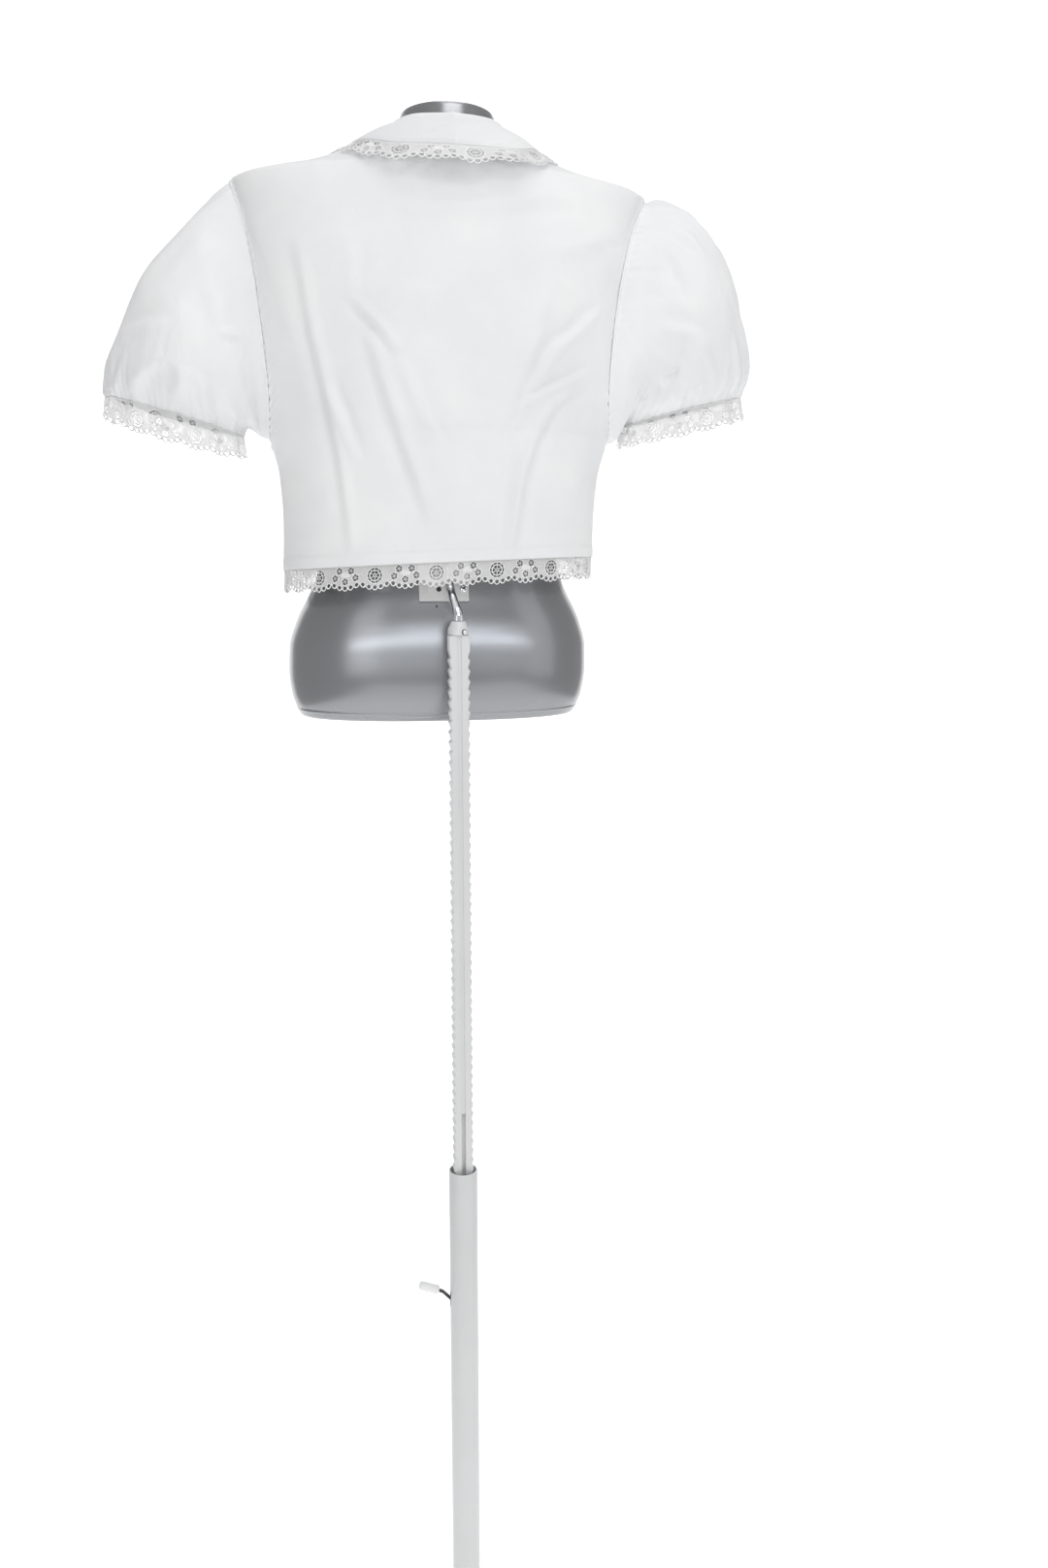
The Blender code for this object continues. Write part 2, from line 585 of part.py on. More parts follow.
def sleeve_grid(side, steps, columns, cut_back, cut_front):
    """Middle surface of a sleeve and the direction of its wall: rings swung from armhole to cuff."""
    source = SLEEVES[side]
    sign = -1 if side == "left" else 1
    turn = np.linspace(0, 2 * np.pi, columns, endpoint=False)[None]
    step = steps[:, None]
    outer = np.stack([column(source, "outer_x", step), column(source, "outer_z", step)], axis=-1)
    inner = np.stack([column(source, "inner_x", step), column(source, "inner_z", step)], axis=-1)
    half = np.cos(turn)[..., None] / 2
    plane = (outer + inner) / 2 + half * (outer - inner)
    wave = CUFF_WAVE_DEPTH * step**5 * np.cos(CUFF_WAVES * turn)
    crown = np.clip(np.cos(turn), 0, 1)**2 * np.exp(-((step - CAP_WAVE_STEP) / CAP_WAVE_RUN)**2)
    wave = wave + CAP_WAVE_DEPTH[side] * crown * np.cos(CAP_WAVES * turn)
    depth = column(source, "half_depth", step) + wave
    y = column(source, "centre_y", step) - depth * np.sin(turn)
    centre = (outer + inner) / 2
    plane = centre + (plane - centre) * (1 + wave / SLEEVE_RADIUS)[..., None]
    grid = np.stack([sign * plane[..., 0], y, plane[..., 1]], axis=-1)
    loop, loop_normal = armhole_loop(turn[0], sign, cut_back, cut_front)
    weight = (np.clip(1 - step / SLEEVE_BLEND, 0, 1)**2)[..., None]
    grid = grid + weight * (loop - grid[0])[None]
    around = np.roll(grid, -1, axis=1) - np.roll(grid, 1, axis=1)
    along = np.gradient(grid, axis=0)
    normal = np.cross(around, along)
    normal /= np.linalg.norm(normal, axis=-1, keepdims=True)
    centre_line = grid.mean(axis=1, keepdims=True)
    normal *= np.sign((normal * (grid - centre_line)).sum(axis=(1, 2), keepdims=True))
    normal = normal * (1 - weight) + loop_normal[None] * weight
    normal[-1, :, 2] = 0
    return grid, normal / np.linalg.norm(normal, axis=-1, keepdims=True)


def add_sleeve(side, columns=48):
    """A puff sleeve, gathered at its cap and at its cuff."""
    steps = np.array([0.0, 0.05, 0.13, 0.26, 0.42, 0.60, 0.77, 0.90, 1.0])
    grid, normal = sleeve_grid(side, steps, columns, ARMHOLE_CUT[side], FRONT_ARMHOLE_CUT)
    add_wall("sleeve_" + side, grid + normal * CLOTH, grid, "cotton", closed=True)
    return grid[-1]


def scallops(points):
    """How far the lace's rounded lobes reach at each point of its seam: whole lobes, SCALLOP deep."""
    steps = np.linalg.norm(np.diff(points, axis=0), axis=1)
    length = np.concatenate([[0], np.cumsum(steps)])
    count = round(length[-1] / SCALLOP_PITCH)
    return SCALLOP * np.abs(np.sin(np.pi * count * length / length[-1]))


def add_cuff_lace(side, cuff, rows=2):
    """Lace that hangs from the gathered cuff edge and spreads a little."""
    centre = cuff.mean(axis=0)
    out = cuff - centre
    out[:, 2] = 0
    out /= np.linalg.norm(out, axis=1, keepdims=True)
    lobes = scallops(np.concatenate([cuff, cuff[:1]]))[:-1]
    down = np.linspace(0, 1, rows)[:, None, None]
    drop = SEAM_GAP * 2 + down * (LACE_DEPTH - SCALLOP + lobes[None, :, None])
    base = cuff[None] + out[None] * (CUFF_LACE_FLARE * drop) + np.array([0, 0, -1.0]) * drop
    return add_wall("cuff_lace_" + side, base + out[None] * LACE, base, "lace", closed=True)


def add_hem_lace(columns=95, rows=2):
    """Lace sewn under the whole hem, open at the centre front."""
    angle = np.linspace(-180 + HEM_LACE_END, 180 - HEM_LACE_END, columns)
    hem = hem_height(angle)
    lobes = scallops(body_surface(angle, hem))
    down = np.linspace(0, 1, rows)[:, None]
    z = hem[None] - SEAM_GAP - down * (LACE_DEPTH - SCALLOP + lobes[None])
    angle = angle[None] + 0 * z
    base = body_surface(angle, z)
    add_wall("hem_lace", base + outward(body_surface, angle, z) * LACE, base, "lace")


def collar_columns(angle):
    """Roll, edge and lace-edge points at angles round the neck; the far side mirrors the near one."""
    sign = np.where(angle < 0, -1.0, 1.0)
    found = []
    for line in ("roll", "edge", "lace"):
        x, y, z = (column(COLLAR, line + axis, np.abs(angle)) for axis in ("_x", "_y", "_z"))
        found.append(np.stack([sign * x + LEAN * (z - LEAN_PIVOT_Z), y, z], axis=-1))
    return found


def neckline(angle):
    """The body's neck edge below a place round the collar."""
    turn = np.abs(angle)
    sign = np.where(angle < 0, -1.0, 1.0)
    front_angle, front_z = front_neck(np.clip(180 - turn, 0, 90))
    behind = turn <= 90
    z = np.where(behind, back_neck(np.minimum(turn, 90)), front_z)
    return body_surface(sign * np.where(behind, turn, front_angle), z)


def add_collar():
    """The turned collar: a stand up to the roll line, then the fall out to its edge."""
    angle = np.linspace(-COLLAR_END, COLLAR_END, COLLAR_COLUMNS)
    roll, edge, _ = collar_columns(angle)
    neck = neckline(angle)
    centre = np.array([0, NECK_CENTRE_Y, 0])
    out = edge - roll
    out[:, 2] = 0
    out /= np.linalg.norm(out, axis=1, keepdims=True)
    plan_out = neck - centre
    plan_out[:, 2] = 0
    plan_out /= np.linalg.norm(plan_out, axis=1, keepdims=True)
    up = np.array([0, 0, 1.0])
    start = neck - plan_out * STAND_INSET + up * STAND_RISE
    top = roll - up * ROLL_RISE
    turned = roll + out * 2 * ROLL_OUT - up * ROLL_RISE
    bulge = (turned + edge) / 2 + out * FALL_OUT + up * FALL_RISE
    rows = [start, (start + top) / 2, top, roll + out * ROLL_OUT, turned]
    for share in (0.35, 0.7, 1.0):
        rows.append((1 - share)**2 * turned + 2 * share * (1 - share) * bulge + share**2 * edge)
    grid = np.stack(rows)
    along = np.gradient(grid, axis=0)
    around = np.gradient(grid, axis=1)
    normal = np.cross(around, along)
    normal /= np.linalg.norm(normal, axis=-1, keepdims=True)
    half = normal * CLOTH / 2
    add_wall("collar", grid + half, grid - half, "cotton")


def add_collar_lace(rows=2):
    """Lace along the collar's outer edge: two of its columns to each of the collar's."""
    knots = np.linspace(-COLLAR_END, COLLAR_END, COLLAR_COLUMNS)
    angle = np.linspace(-COLLAR_END, COLLAR_END, 2 * COLLAR_COLUMNS - 1)
    tip = collar_columns(angle)[2]
    edge = np.stack([np.interp(angle, knots, value) for value in collar_columns(knots)[1].T], axis=1)
    run = tip - edge
    full = np.linalg.norm(run, axis=1)
    run /= full[:, None]
    reach = full - SCALLOP + scallops(edge)
    start = SEAM_GAP + CLOTH / 2
    down = np.linspace(0, 1, rows)[:, None, None]
    grid = edge[None] + run[None] * (start + down * (reach[None, :, None] - start))
    normal = np.cross(np.gradient(grid, axis=1), np.gradient(grid, axis=0))
    normal /= np.linalg.norm(normal, axis=-1, keepdims=True)
    half = normal * LACE / 2
    add_wall("collar_lace", grid + half, grid - half, "lace")


def add_form(columns=24):
    """The dress form: a smooth shell, open below, with a flat cut neck."""
    z = np.sort(np.concatenate([FORM["z"], FORM_EXTRA_ROWS]))[:, None]
    angle = np.linspace(0, 360, columns, endpoint=False)[None]

    def place(at_angle, at_z):
        return ring_point(FORM, at_angle, at_z)

    outer = place(angle + 0 * z, z + 0 * angle)
    inside = np.clip(z, FORM["z"][0] + FORM_END_STEP, FORM["z"][-1] - FORM_END_STEP)
    normal = outward(place, angle + 0 * z, inside + 0 * angle)
    inner = outer - normal * FORM_WALL
    inner[0, :, 2] = outer[0, :, 2]
    inner[-1, :, 2] = outer[-1, :, 2] - FORM_WALL
    return add_wall("dress_form", outer, inner, "form_grey", closed=True, capped=True)


def lathe(name, profile, colour, segments=24, centre=(0.0, 0.0)):
    """A turned body: the closed profile of radius and height goes round a vertical axis."""
    turn = np.linspace(0, 2 * np.pi, segments, endpoint=False)
    rings = []
    for radius, z in profile:
        rings.append(np.stack([centre[0] + radius * np.cos(turn),
                               centre[1] + radius * np.sin(turn), z + 0 * turn], axis=-1))
    points = np.concatenate(rings)
    faces = grid_faces(len(profile), segments, 0, True)
    if profile[0] == profile[-1]:
        points = points[:-segments]
        total = len(points)
        faces = [tuple(corner % total for corner in face) for face in faces]
    else:
        faces.append(tuple(reversed(range(segments))))
        faces.append(tuple(range(len(points) - segments, len(points))))
    return add_object(name, points, faces, colour)


def add_base():
    """Round steel foot with an eased rim, and the socket that holds the tube."""
    lathe("base_plate", [(BASE_RADIUS - EDGE_EASE, 0.0), (BASE_RADIUS, EDGE_EASE),
                         (BASE_RADIUS, BASE_SIDE_Z), (BASE_RADIUS - BASE_EASE, BASE_HEIGHT)],
          "white_paint", segments=36)
    low = BASE_HEIGHT + SEAM_GAP
    bore = TUBE_RADIUS + SEAM_GAP
    lathe("base_socket", [(bore, low), (SOCKET_RADIUS + SOCKET_FLANGE, low),
                          (SOCKET_RADIUS + SOCKET_FLANGE, low + SOCKET_FLANGE_HEIGHT),
                          (SOCKET_RADIUS, low + SOCKET_NECK_Z), (SOCKET_RADIUS, SOCKET_TOP_Z - SOCKET_EASE),
                          (SOCKET_RADIUS - SOCKET_EASE, SOCKET_TOP_Z), (bore, SOCKET_TOP_Z), (bore, low)],
          "white_paint", segments=20)


def add_box(name, low, high, colour):
    corners = [(x, y, z) for z in (low[2], high[2]) for y in (low[1], high[1]) for x in (low[0], high[0])]
    faces = [(0, 2, 3, 1), (4, 5, 7, 6), (0, 1, 5, 4), (2, 6, 7, 3), (0, 4, 6, 2), (1, 3, 7, 5)]
    return add_object(name, corners, faces, colour)


def add_tube():
    """The lower tube, with a slot for the lever in its left wall."""
    low = BASE_HEIGHT + SEAM_GAP
    bore = TUBE_RADIUS - TUBE_WALL
    tube = lathe("stand_tube", [(bore, low), (TUBE_RADIUS, low), (TUBE_RADIUS, TUBE_TOP_Z),
                                (bore, TUBE_TOP_Z), (bore, low)], "white_paint")
    half, slot_low, slot_high = LEVER_SLOT
    cutter = add_box("lever_slot_cutter", (-0.020, -half, slot_low), (-0.005, half, slot_high), "white_paint")
    cutter.hide_render = True
    cutter.display_type = "WIRE"
    cut = tube.modifiers.new("lever_slot", "BOOLEAN")
    cut.object = cutter
    cut.operation = "DIFFERENCE"


def add_post():
    """The ratchet post: a bar with a row of slanted notches down both edges, and its guide plug."""
    count = int((POST_TOP_Z - NOTCH_LOW_Z - NOTCH_TOP_MARGIN) / NOTCH_PITCH)
    heights = NOTCH_LOW_Z + NOTCH_PITCH * np.arange(count)
    right = [(POST_HALF_WIDTH, POST_LOW_Z)]
    for z in heights:
        right.append((POST_HALF_WIDTH, z))
        right.append((POST_HALF_WIDTH - NOTCH_DEPTH, z + NOTCH_PITCH * NOTCH_SLANT))
    right.append((POST_HALF_WIDTH, heights[-1] + NOTCH_PITCH))
    right.append((POST_HALF_WIDTH, POST_TOP_Z))
    outline = right + [(-x, z) for x, z in reversed(right)]
    total = len(outline)
    points = [(x, y, z) for y in (-POST_HALF_DEPTH, POST_HALF_DEPTH) for x, z in outline]
    faces = [tuple(range(total)), tuple(reversed(range(total, 2 * total)))]
    for place in range(total):
        after = (place + 1) % total
        faces.append((after, place, total + place, total + after))
    add_object("post", points, faces, "white_paint")
    radius = TUBE_RADIUS - TUBE_WALL - GUIDE_CLEARANCE
    lathe("post_guide", [(radius - EDGE_EASE, GUIDE_LOW_Z), (radius, GUIDE_LOW_Z + GUIDE_EASE),
                         (radius, POST_LOW_Z - SEAM_GAP)], "grip", segments=24)


def add_cap():
    """The cap that joins the post to the rod, with its clamping screw."""
    low = POST_TOP_Z + SEAM_GAP
    lathe("post_cap", [(POST_HALF_WIDTH, low), (POST_HALF_WIDTH, low + CAP_SIDE_HEIGHT),
                       (CAP_TOP_RADIUS, low + CAP_HEIGHT - EDGE_EASE),
                       (CAP_TOP_RADIUS - EDGE_EASE, low + CAP_HEIGHT)],
          "white_paint", segments=24)
    axis = np.array(SET_SCREW_AXIS) / np.linalg.norm(SET_SCREW_AXIS)
    centre = axis * (POST_HALF_WIDTH + SEAM_GAP) + np.array([0, 0, low + SET_SCREW_RISE])
    points, faces = disc(centre, axis, SET_SCREW_RADIUS, SET_SCREW_HEIGHT)
    add_object("cap_screw", points, faces, "chrome")


def form_back_y(z):
    return float(ring_point(FORM, np.array(0.0), np.array(z))[1])


def plate_face_y(z):
    """Outer face of the back plate, parallel to the form's back between the plate's two edges."""
    low, high = form_back_y(PLATE_LOW_Z), form_back_y(PLATE_TOP_Z)
    shares = np.linspace(0, 1, 15)
    bulge = min(form_back_y(PLATE_LOW_Z + (PLATE_TOP_Z - PLATE_LOW_Z) * share) - low - (high - low) * share
                for share in shares)
    share = (z - PLATE_LOW_Z) / (PLATE_TOP_Z - PLATE_LOW_Z)
    return low + (high - low) * share + min(bulge, 0) - SEAM_GAP - PLATE_THICKNESS


def add_plate():
    """The hanging plate on the form's back, with its screw."""
    y = {z: plate_face_y(z) for z in (PLATE_LOW_Z, PLATE_TOP_Z)}
    corners = []
    for z in (PLATE_LOW_Z, PLATE_TOP_Z):
        for back in (0.0, PLATE_THICKNESS):
            for side in (-1, 1):
                corners.append((PLATE_X + side * PLATE_HALF_WIDTH, y[z] + back, z))
    faces = [(0, 2, 3, 1), (4, 5, 7, 6), (0, 1, 5, 4), (2, 6, 7, 3), (0, 4, 6, 2), (1, 3, 7, 5)]
    add_object("back_plate", corners, faces, "plate")
    x, z = PLATE_SCREW
    slope = (y[PLATE_TOP_Z] - y[PLATE_LOW_Z]) / (PLATE_TOP_Z - PLATE_LOW_Z)
    axis = np.array([0.0, -1.0, slope])
    centre = np.array([x, plate_face_y(z), z]) + axis / np.linalg.norm(axis) * SEAM_GAP
    points, faces = disc(centre, axis, PLATE_SCREW_RADIUS, PLATE_SCREW_HEIGHT, segments=16, rim=0.35)
    add_object("plate_screw", points, faces, "chrome")


def sweep(centres, radii, segments):
    """Points and faces of a round bar along its centres, each ring square to the path."""
    centres = np.asarray(centres, float)
    along = np.gradient(centres, axis=0)
    along /= np.linalg.norm(along, axis=1, keepdims=True)
    side = np.cross(along, (1.0, 0.0, 0.0) if abs(along[0][0]) < 0.7 else (0.0, 1.0, 0.0))
    side /= np.linalg.norm(side, axis=1, keepdims=True)
    other = np.cross(along, side)
    turn = np.linspace(0, 2 * np.pi, segments, endpoint=False)
    rings = [centre + radius * (np.outer(np.cos(turn), s) + np.outer(np.sin(turn), o))
             for centre, radius, s, o in zip(centres, radii, side, other)]
    faces = grid_faces(len(centres), segments, 0, True)
    faces.append(tuple(reversed(range(segments))))
    faces.append(tuple(range((len(centres) - 1) * segments, len(centres) * segments)))
    return np.concatenate(rings), faces


def add_rod():
    """The bent, tapering rod from the cap to the plate, which ends square on the plate's face."""
    end_y = plate_face_y(ROD_END_Z) - ROD_END_GAP
    x = ROD["x"][-1]
    ends = [(x, end_y - ROD_END_RUN, ROD_END_Z - ROD_END_DROP), (x, end_y, ROD_END_Z)]
    centres = np.concatenate([np.stack([ROD["x"], ROD["y"], ROD["z"]], axis=1), ends])
    radii = np.concatenate([ROD["radius"], ROD_END_RADII])
    points, faces = sweep(centres, radii, 12)
    add_object("hook_rod", points, faces, "chrome")


def add_lever():
    """The ratchet lever: a bent strip that pivots in the tube's wall, and its round grip."""
    x, z, half = LEVER.values()
    along = np.stack([np.gradient(x), np.gradient(z)], axis=-1)
    along /= np.linalg.norm(along, axis=1, keepdims=True)
    across = np.stack([-along[:, 1], along[:, 0]], axis=-1) * half[:, None]
    middle = np.stack([x, z], axis=-1)
    outline = np.concatenate([middle + across, (middle - across)[::-1]])
    total = len(outline)
    points = [(px, y, pz) for y in (-LEVER_HALF_WIDTH, LEVER_HALF_WIDTH) for px, pz in outline]
    faces = [tuple(range(total)), tuple(reversed(range(total, 2 * total)))]
    for place in range(total):
        after = (place + 1) % total
        faces.append((after, place, total + place, total + after))
    add_object("lever_strip", points, faces, "dark_steel")
    share = np.array([0.0, 0.06, 0.9, 1.0])
    start, end = np.array(GRIP_START), np.array(GRIP_END)
    line = start + (end - start) * share[:, None]
    centres = np.stack([line[:, 0], 0 * share, line[:, 1]], axis=-1)
    points, faces = sweep(centres, GRIP_RADIUS * np.array([0.8, 1.0, 1.0, 0.75]), 14)
    add_object("lever_grip", points, faces, "grip")


def build():
    clear_scene()
    add_base()
    add_tube()
    add_post()
    add_cap()
    add_rod()
    add_plate()
    add_lever()
    add_form()
    add_back()
    add_front("front_right", 1)
    add_front("front_left", -1)
    add_placket()
    add_buttons()
    for side in ("left", "right"):
        add_cuff_lace(side, add_sleeve(side))
    add_collar()
    add_collar_lace()
    add_hem_lace()


build()
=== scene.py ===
import math
import bpy
import numpy as np
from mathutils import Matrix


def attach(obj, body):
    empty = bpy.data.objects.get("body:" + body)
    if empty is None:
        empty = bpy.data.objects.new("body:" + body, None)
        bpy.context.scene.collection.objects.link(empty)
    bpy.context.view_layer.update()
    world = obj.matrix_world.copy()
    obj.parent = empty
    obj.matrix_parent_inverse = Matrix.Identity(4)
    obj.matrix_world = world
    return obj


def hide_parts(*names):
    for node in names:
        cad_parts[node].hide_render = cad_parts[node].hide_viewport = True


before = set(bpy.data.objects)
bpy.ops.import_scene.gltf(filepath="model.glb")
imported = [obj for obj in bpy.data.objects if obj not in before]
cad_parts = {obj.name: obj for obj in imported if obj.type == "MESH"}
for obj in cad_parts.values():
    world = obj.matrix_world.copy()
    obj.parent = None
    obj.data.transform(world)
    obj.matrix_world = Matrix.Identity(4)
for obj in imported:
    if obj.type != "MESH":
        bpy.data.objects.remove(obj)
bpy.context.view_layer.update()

# A cropped cotton blouse with puff sleeves and lace trims on a grey dress form, which hangs on a ratchet
# stand. Metres, +Z up, the origin on the floor under the pole. +Y is the wearer's front and -X the
# wearer's left.
scene = bpy.context.scene


# Reading the short tables that shape the body, the sleeves and the collar

def table(names, rows):  # the columns of a table by name; the first one is what the others are read at
    return dict(zip(names.split(), np.array(rows).T))


def column(source, name, at):
    # Cubic between the rows. Its slope at a row is the harmonic mean of the two rises, or 0 at a turn,
    # so it never overshoots.
    rows, values = next(iter(source.values())), source[name]
    at = np.clip(at, rows[0], rows[-1])
    rise = np.diff(values) / np.diff(rows)
    before, after = rise[:-1], rise[1:]
    sameWay = before * after > 0
    mean = 2 * before * after / np.where(sameWay, before + after, 1.0)
    slope = np.concatenate([rise[:1], np.where(sameWay, mean, 0.0), rise[-1:]])
    low = np.clip(np.searchsorted(rows, at, side="right") - 1, 0, len(rows) - 2)
    step = rows[low + 1] - rows[low]
    part = (at - rows[low]) / step
    keep = 2 * part**3 - 3 * part**2 + 1
    return (keep * values[low] + (1 - keep) * values[low + 1]
            + (part**3 - 2 * part**2 + part) * step * slope[low]
            + (part**3 - part**2) * step * slope[low + 1])


leanPerMetre = 0.017  # the whole form leans a little to +X above this height
leanPivot = 1.5


def ringPoint(source, angle, z):
    # Flattened ring: x = width * sin^(2/p), y = centre - depth * cos^(2/p), with the signs kept.
    # The angle is 0 at the back, 90 at +X and 180 at the front.
    sine, cosine = np.sin(np.radians(angle)), np.cos(np.radians(angle))
    power = column(source, "power", z)
    depth = np.where(cosine > 0, column(source, "back", z), column(source, "front", z))
    x = column(source, "halfWidth", z) * np.sign(sine) * np.abs(sine)**(2 / power)
    y = column(source, "centreY", z) - depth * np.sign(cosine) * np.abs(cosine)**(2 / power)
    return np.stack([x + leanPerMetre * (z - leanPivot), y, z + 0 * x], axis=-1)


def unit(vectors):  # each vector over its own length
    return vectors / np.maximum(np.linalg.norm(vectors, axis=-1, keepdims=True), 1e-12)


def outward(place, angle, z):  # normal of place(angle, z): the cross product of its two small steps
    across = place(angle + 0.6, z) - place(angle - 0.6, z)
    upward = place(angle, z + 0.0012) - place(angle, z - 0.0012)
    return unit(np.cross(across, upward))


def gridNormals(grid, closed=False):
    # Normal at each point of a grid: the cross product of its steps along the row and up the column.
    if closed:
        across = np.roll(grid, -1, axis=1) - np.roll(grid, 1, axis=1)
    else:
        across = np.gradient(grid, axis=1)
    return unit(np.cross(across, np.gradient(grid, axis=0)))


def softNoise(x, y, seed):
    # Smooth hills: random values at whole steps of x and y, eased between with 3t^2 - 2t^3.
    values = np.random.default_rng(seed).uniform(-1, 1, (64, 64))
    left, low = np.floor(x).astype(int), np.floor(y).astype(int)
    u, v = x - left, y - low
    u, v = u * u * (3 - 2 * u), v * v * (3 - 2 * v)
    near = values[low % 64, left % 64] * (1 - u) + values[low % 64, (left + 1) % 64] * u
    far = values[(low + 1) % 64, left % 64] * (1 - u) + values[(low + 1) % 64, (left + 1) % 64] * u
    return near * (1 - v) + far * v


def crumple(x, y, seed):
    # Worn cotton: ridged hills of three sizes, 1 - |noise|, whose places are pushed about by wider hills.
    pushX = x + 0.012 * softNoise(x / 0.05, y / 0.05, seed + 1)
    pushY = y + 0.012 * softNoise(x / 0.05, y / 0.05, seed + 2)
    total = np.zeros(np.shape(x))
    for size, share in ((0.050, 0.50), (0.024, 0.32), (0.011, 0.18)):
        hills = softNoise(pushX / size, pushY / size, seed + round(size * 1000))
        total += share * (0.5 - np.abs(hills))
    return total


# Making meshes from grids and threads

def finishMesh(name, mesh, body, material, smooth=True):
    if smooth:
        mesh.shade_smooth()
    mesh.materials.append(material)
    piece = bpy.data.objects.new(name, mesh)
    scene.collection.objects.link(piece)
    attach(piece, body)
    return piece


def gridFaces(rows, columns, closed=False, start=0):
    # Quads of a grid as an array of four corners each; a closed grid joins its last column to its first.
    places = np.arange(columns if closed else columns - 1)
    row, place = np.meshgrid(np.arange(rows - 1), places, indexing="ij")
    after = (place + 1) % columns
    low, high = start + row * columns, start + (row + 1) * columns
    return np.stack([low + place, low + after, high + after, high + place], axis=-1).reshape(-1, 4)


def meshFrom(name, points, quads, uv=None):
    # Puts whole arrays into a mesh. The uv values are given per point and copied to the corners.
    mesh = bpy.data.meshes.new(name)
    mesh.vertices.add(len(points))
    mesh.vertices.foreach_set("co", np.asarray(points, np.float32).ravel())
    mesh.loops.add(quads.size)
    mesh.polygons.add(len(quads))
    mesh.loops.foreach_set("vertex_index", quads.astype(np.int32).ravel())
    mesh.polygons.foreach_set("loop_start", np.arange(0, quads.size, 4, dtype=np.int32))
    if uv is not None:
        layer = mesh.uv_layers.new(name="cloth")
        layer.data.foreach_set("uv", np.asarray(uv, np.float32)[quads.ravel()].ravel())
    mesh.update(calc_edges=True)
    mesh.validate()
    return mesh


def wallMesh(name, outer, inner, closed=False, uv=None):
    # A thin wall between an outer and an inner grid, joined along its free edges.
    rows, columns = outer.shape[:2]
    under = rows * columns
    quads = [gridFaces(rows, columns, closed), gridFaces(rows, columns, closed, under)[:, ::-1]]
    place = np.arange(columns if closed else columns - 1)
    after = (place + 1) % columns
    last = (rows - 1) * columns
    quads.append(np.stack([after, place, under + place, under + after], axis=1))
    quads.append(np.stack([last + place, last + after, under + last + after, under + last + place], axis=1))
    if not closed:
        low = np.arange(rows - 1) * columns
        high = low + columns
        quads.append(np.stack([low, high, under + high, under + low], axis=1))
        low, high = low + columns - 1, high + columns - 1
        quads.append(np.stack([high, low, under + low, under + high], axis=1))
    points = np.concatenate([outer.reshape(-1, 3), inner.reshape(-1, 3)])
    if uv is not None:
        uv = np.concatenate([uv.reshape(-1, 2), uv.reshape(-1, 2)])
    quads = np.concatenate(quads)
    corner = points[quads]
    volume = np.einsum("ij,ij->i", corner[:, 0], np.cross(corner[:, 1], corner[:, 2])).sum()
    volume += np.einsum("ij,ij->i", corner[:, 0], np.cross(corner[:, 2], corner[:, 3])).sum()
    if volume < 0:
        quads = quads[:, ::-1]
    return meshFrom(name, points, quads, uv)


def joined(parts):  # (points, quads) pairs as one pair, each part's quads moved on by the points before it
    starts = np.cumsum([0] + [len(points) for points, _ in parts])
    return (np.concatenate([points for points, _ in parts]),
            np.concatenate([quads + start for (_, quads), start in zip(parts, starts)]))


def pathRun(path):  # running length along a path
    return np.concatenate([[0], np.cumsum(np.linalg.norm(np.diff(path, axis=0), axis=1))])


def readAlong(at, run, values):  # each column of the values read at places along the run
    return np.stack([np.interp(at, run, value) for value in values.T], axis=-1)


def smoothLine(points, count):
    # A curve through the given points, read on the same cubic at even shares of its length.
    points = np.asarray(points, float)
    run = pathRun(points)
    names = [str(place) for place in range(points.shape[1])]
    source = dict(zip(["run"] + names, [run] + list(points.T)))
    at = np.linspace(0, run[-1], count)
    return np.stack([column(source, name, at) for name in names], axis=-1)


def tubes(paths, normals, halfWidths, flatness, sides):
    # Threads: round each point of a path stands a ring of a few points, squashed along the normal.
    # All the paths have the same count of points, so they are swept as one array.
    along = unit(np.gradient(paths, axis=1))
    side = unit(np.cross(along, normals))
    lift = np.cross(side, along)
    turn = (np.arange(sides) + 0.5) / sides * 2 * np.pi
    ring = (np.cos(turn)[:, None] * side[:, :, None] * halfWidths
            + np.sin(turn)[:, None] * lift[:, :, None] * halfWidths * flatness)
    points = paths[:, :, None] + ring
    count, length = paths.shape[:2]
    faces = gridFaces(length, sides, True)
    starts = np.arange(count) * length * sides
    return points.reshape(-1, 3), (faces[None] + starts[:, None, None]).reshape(-1, 4)


# Creases of the cloth

def creaseField(grid, normals, lines):
    # Each line is a curve in space with a height, a width and a side. The nearest point of the curve gives
    # how far along and how far beside it a point of the cloth lies. A ridge of the form exp(-s^2) stands on
    # the line, a shallower trough lies on one side of it, and both fade to the line's ends.
    flat = grid.reshape(-1, 3)
    total = np.zeros(len(flat))
    for line in lines:
        curve, height, width = line["curve"], line["height"], line["width"]
        start, step = curve[:-1], np.diff(curve, axis=0)
        low, high = curve.min(axis=0) - 4 * width, curve.max(axis=0) + 4 * width
        near = np.flatnonzero(((flat > low) & (flat < high)).all(axis=1))
        if not len(near):
            continue
        away = flat[near, None] - start[None]
        share = np.clip((away * step).sum(axis=2) / (step * step).sum(axis=1), 0, 1)
        away = away - share[..., None] * step
        distance = (away * away).sum(axis=2)
        best = distance.argmin(axis=1)
        each = np.arange(len(near))
        side = unit(np.cross(normals.reshape(-1, 3)[near], step[best]))
        beside = (away[each, best] * side).sum(axis=1) / width
        distance = np.sqrt(distance[each, best]) / width
        beside = np.where(beside < 0, -distance, distance)
        run = (best + share[each, best]) / len(step)
        fade = np.clip(np.sin(np.pi * run), 0, 1)**line["fade"]
        ridge = np.exp(-beside**2)
        trough = line["trough"] * np.exp(-((beside - line["side"] * 1.5) / 1.2)**2)
        total[near] += height * fade * (ridge - trough)
    return total.reshape(grid.shape[:-1])


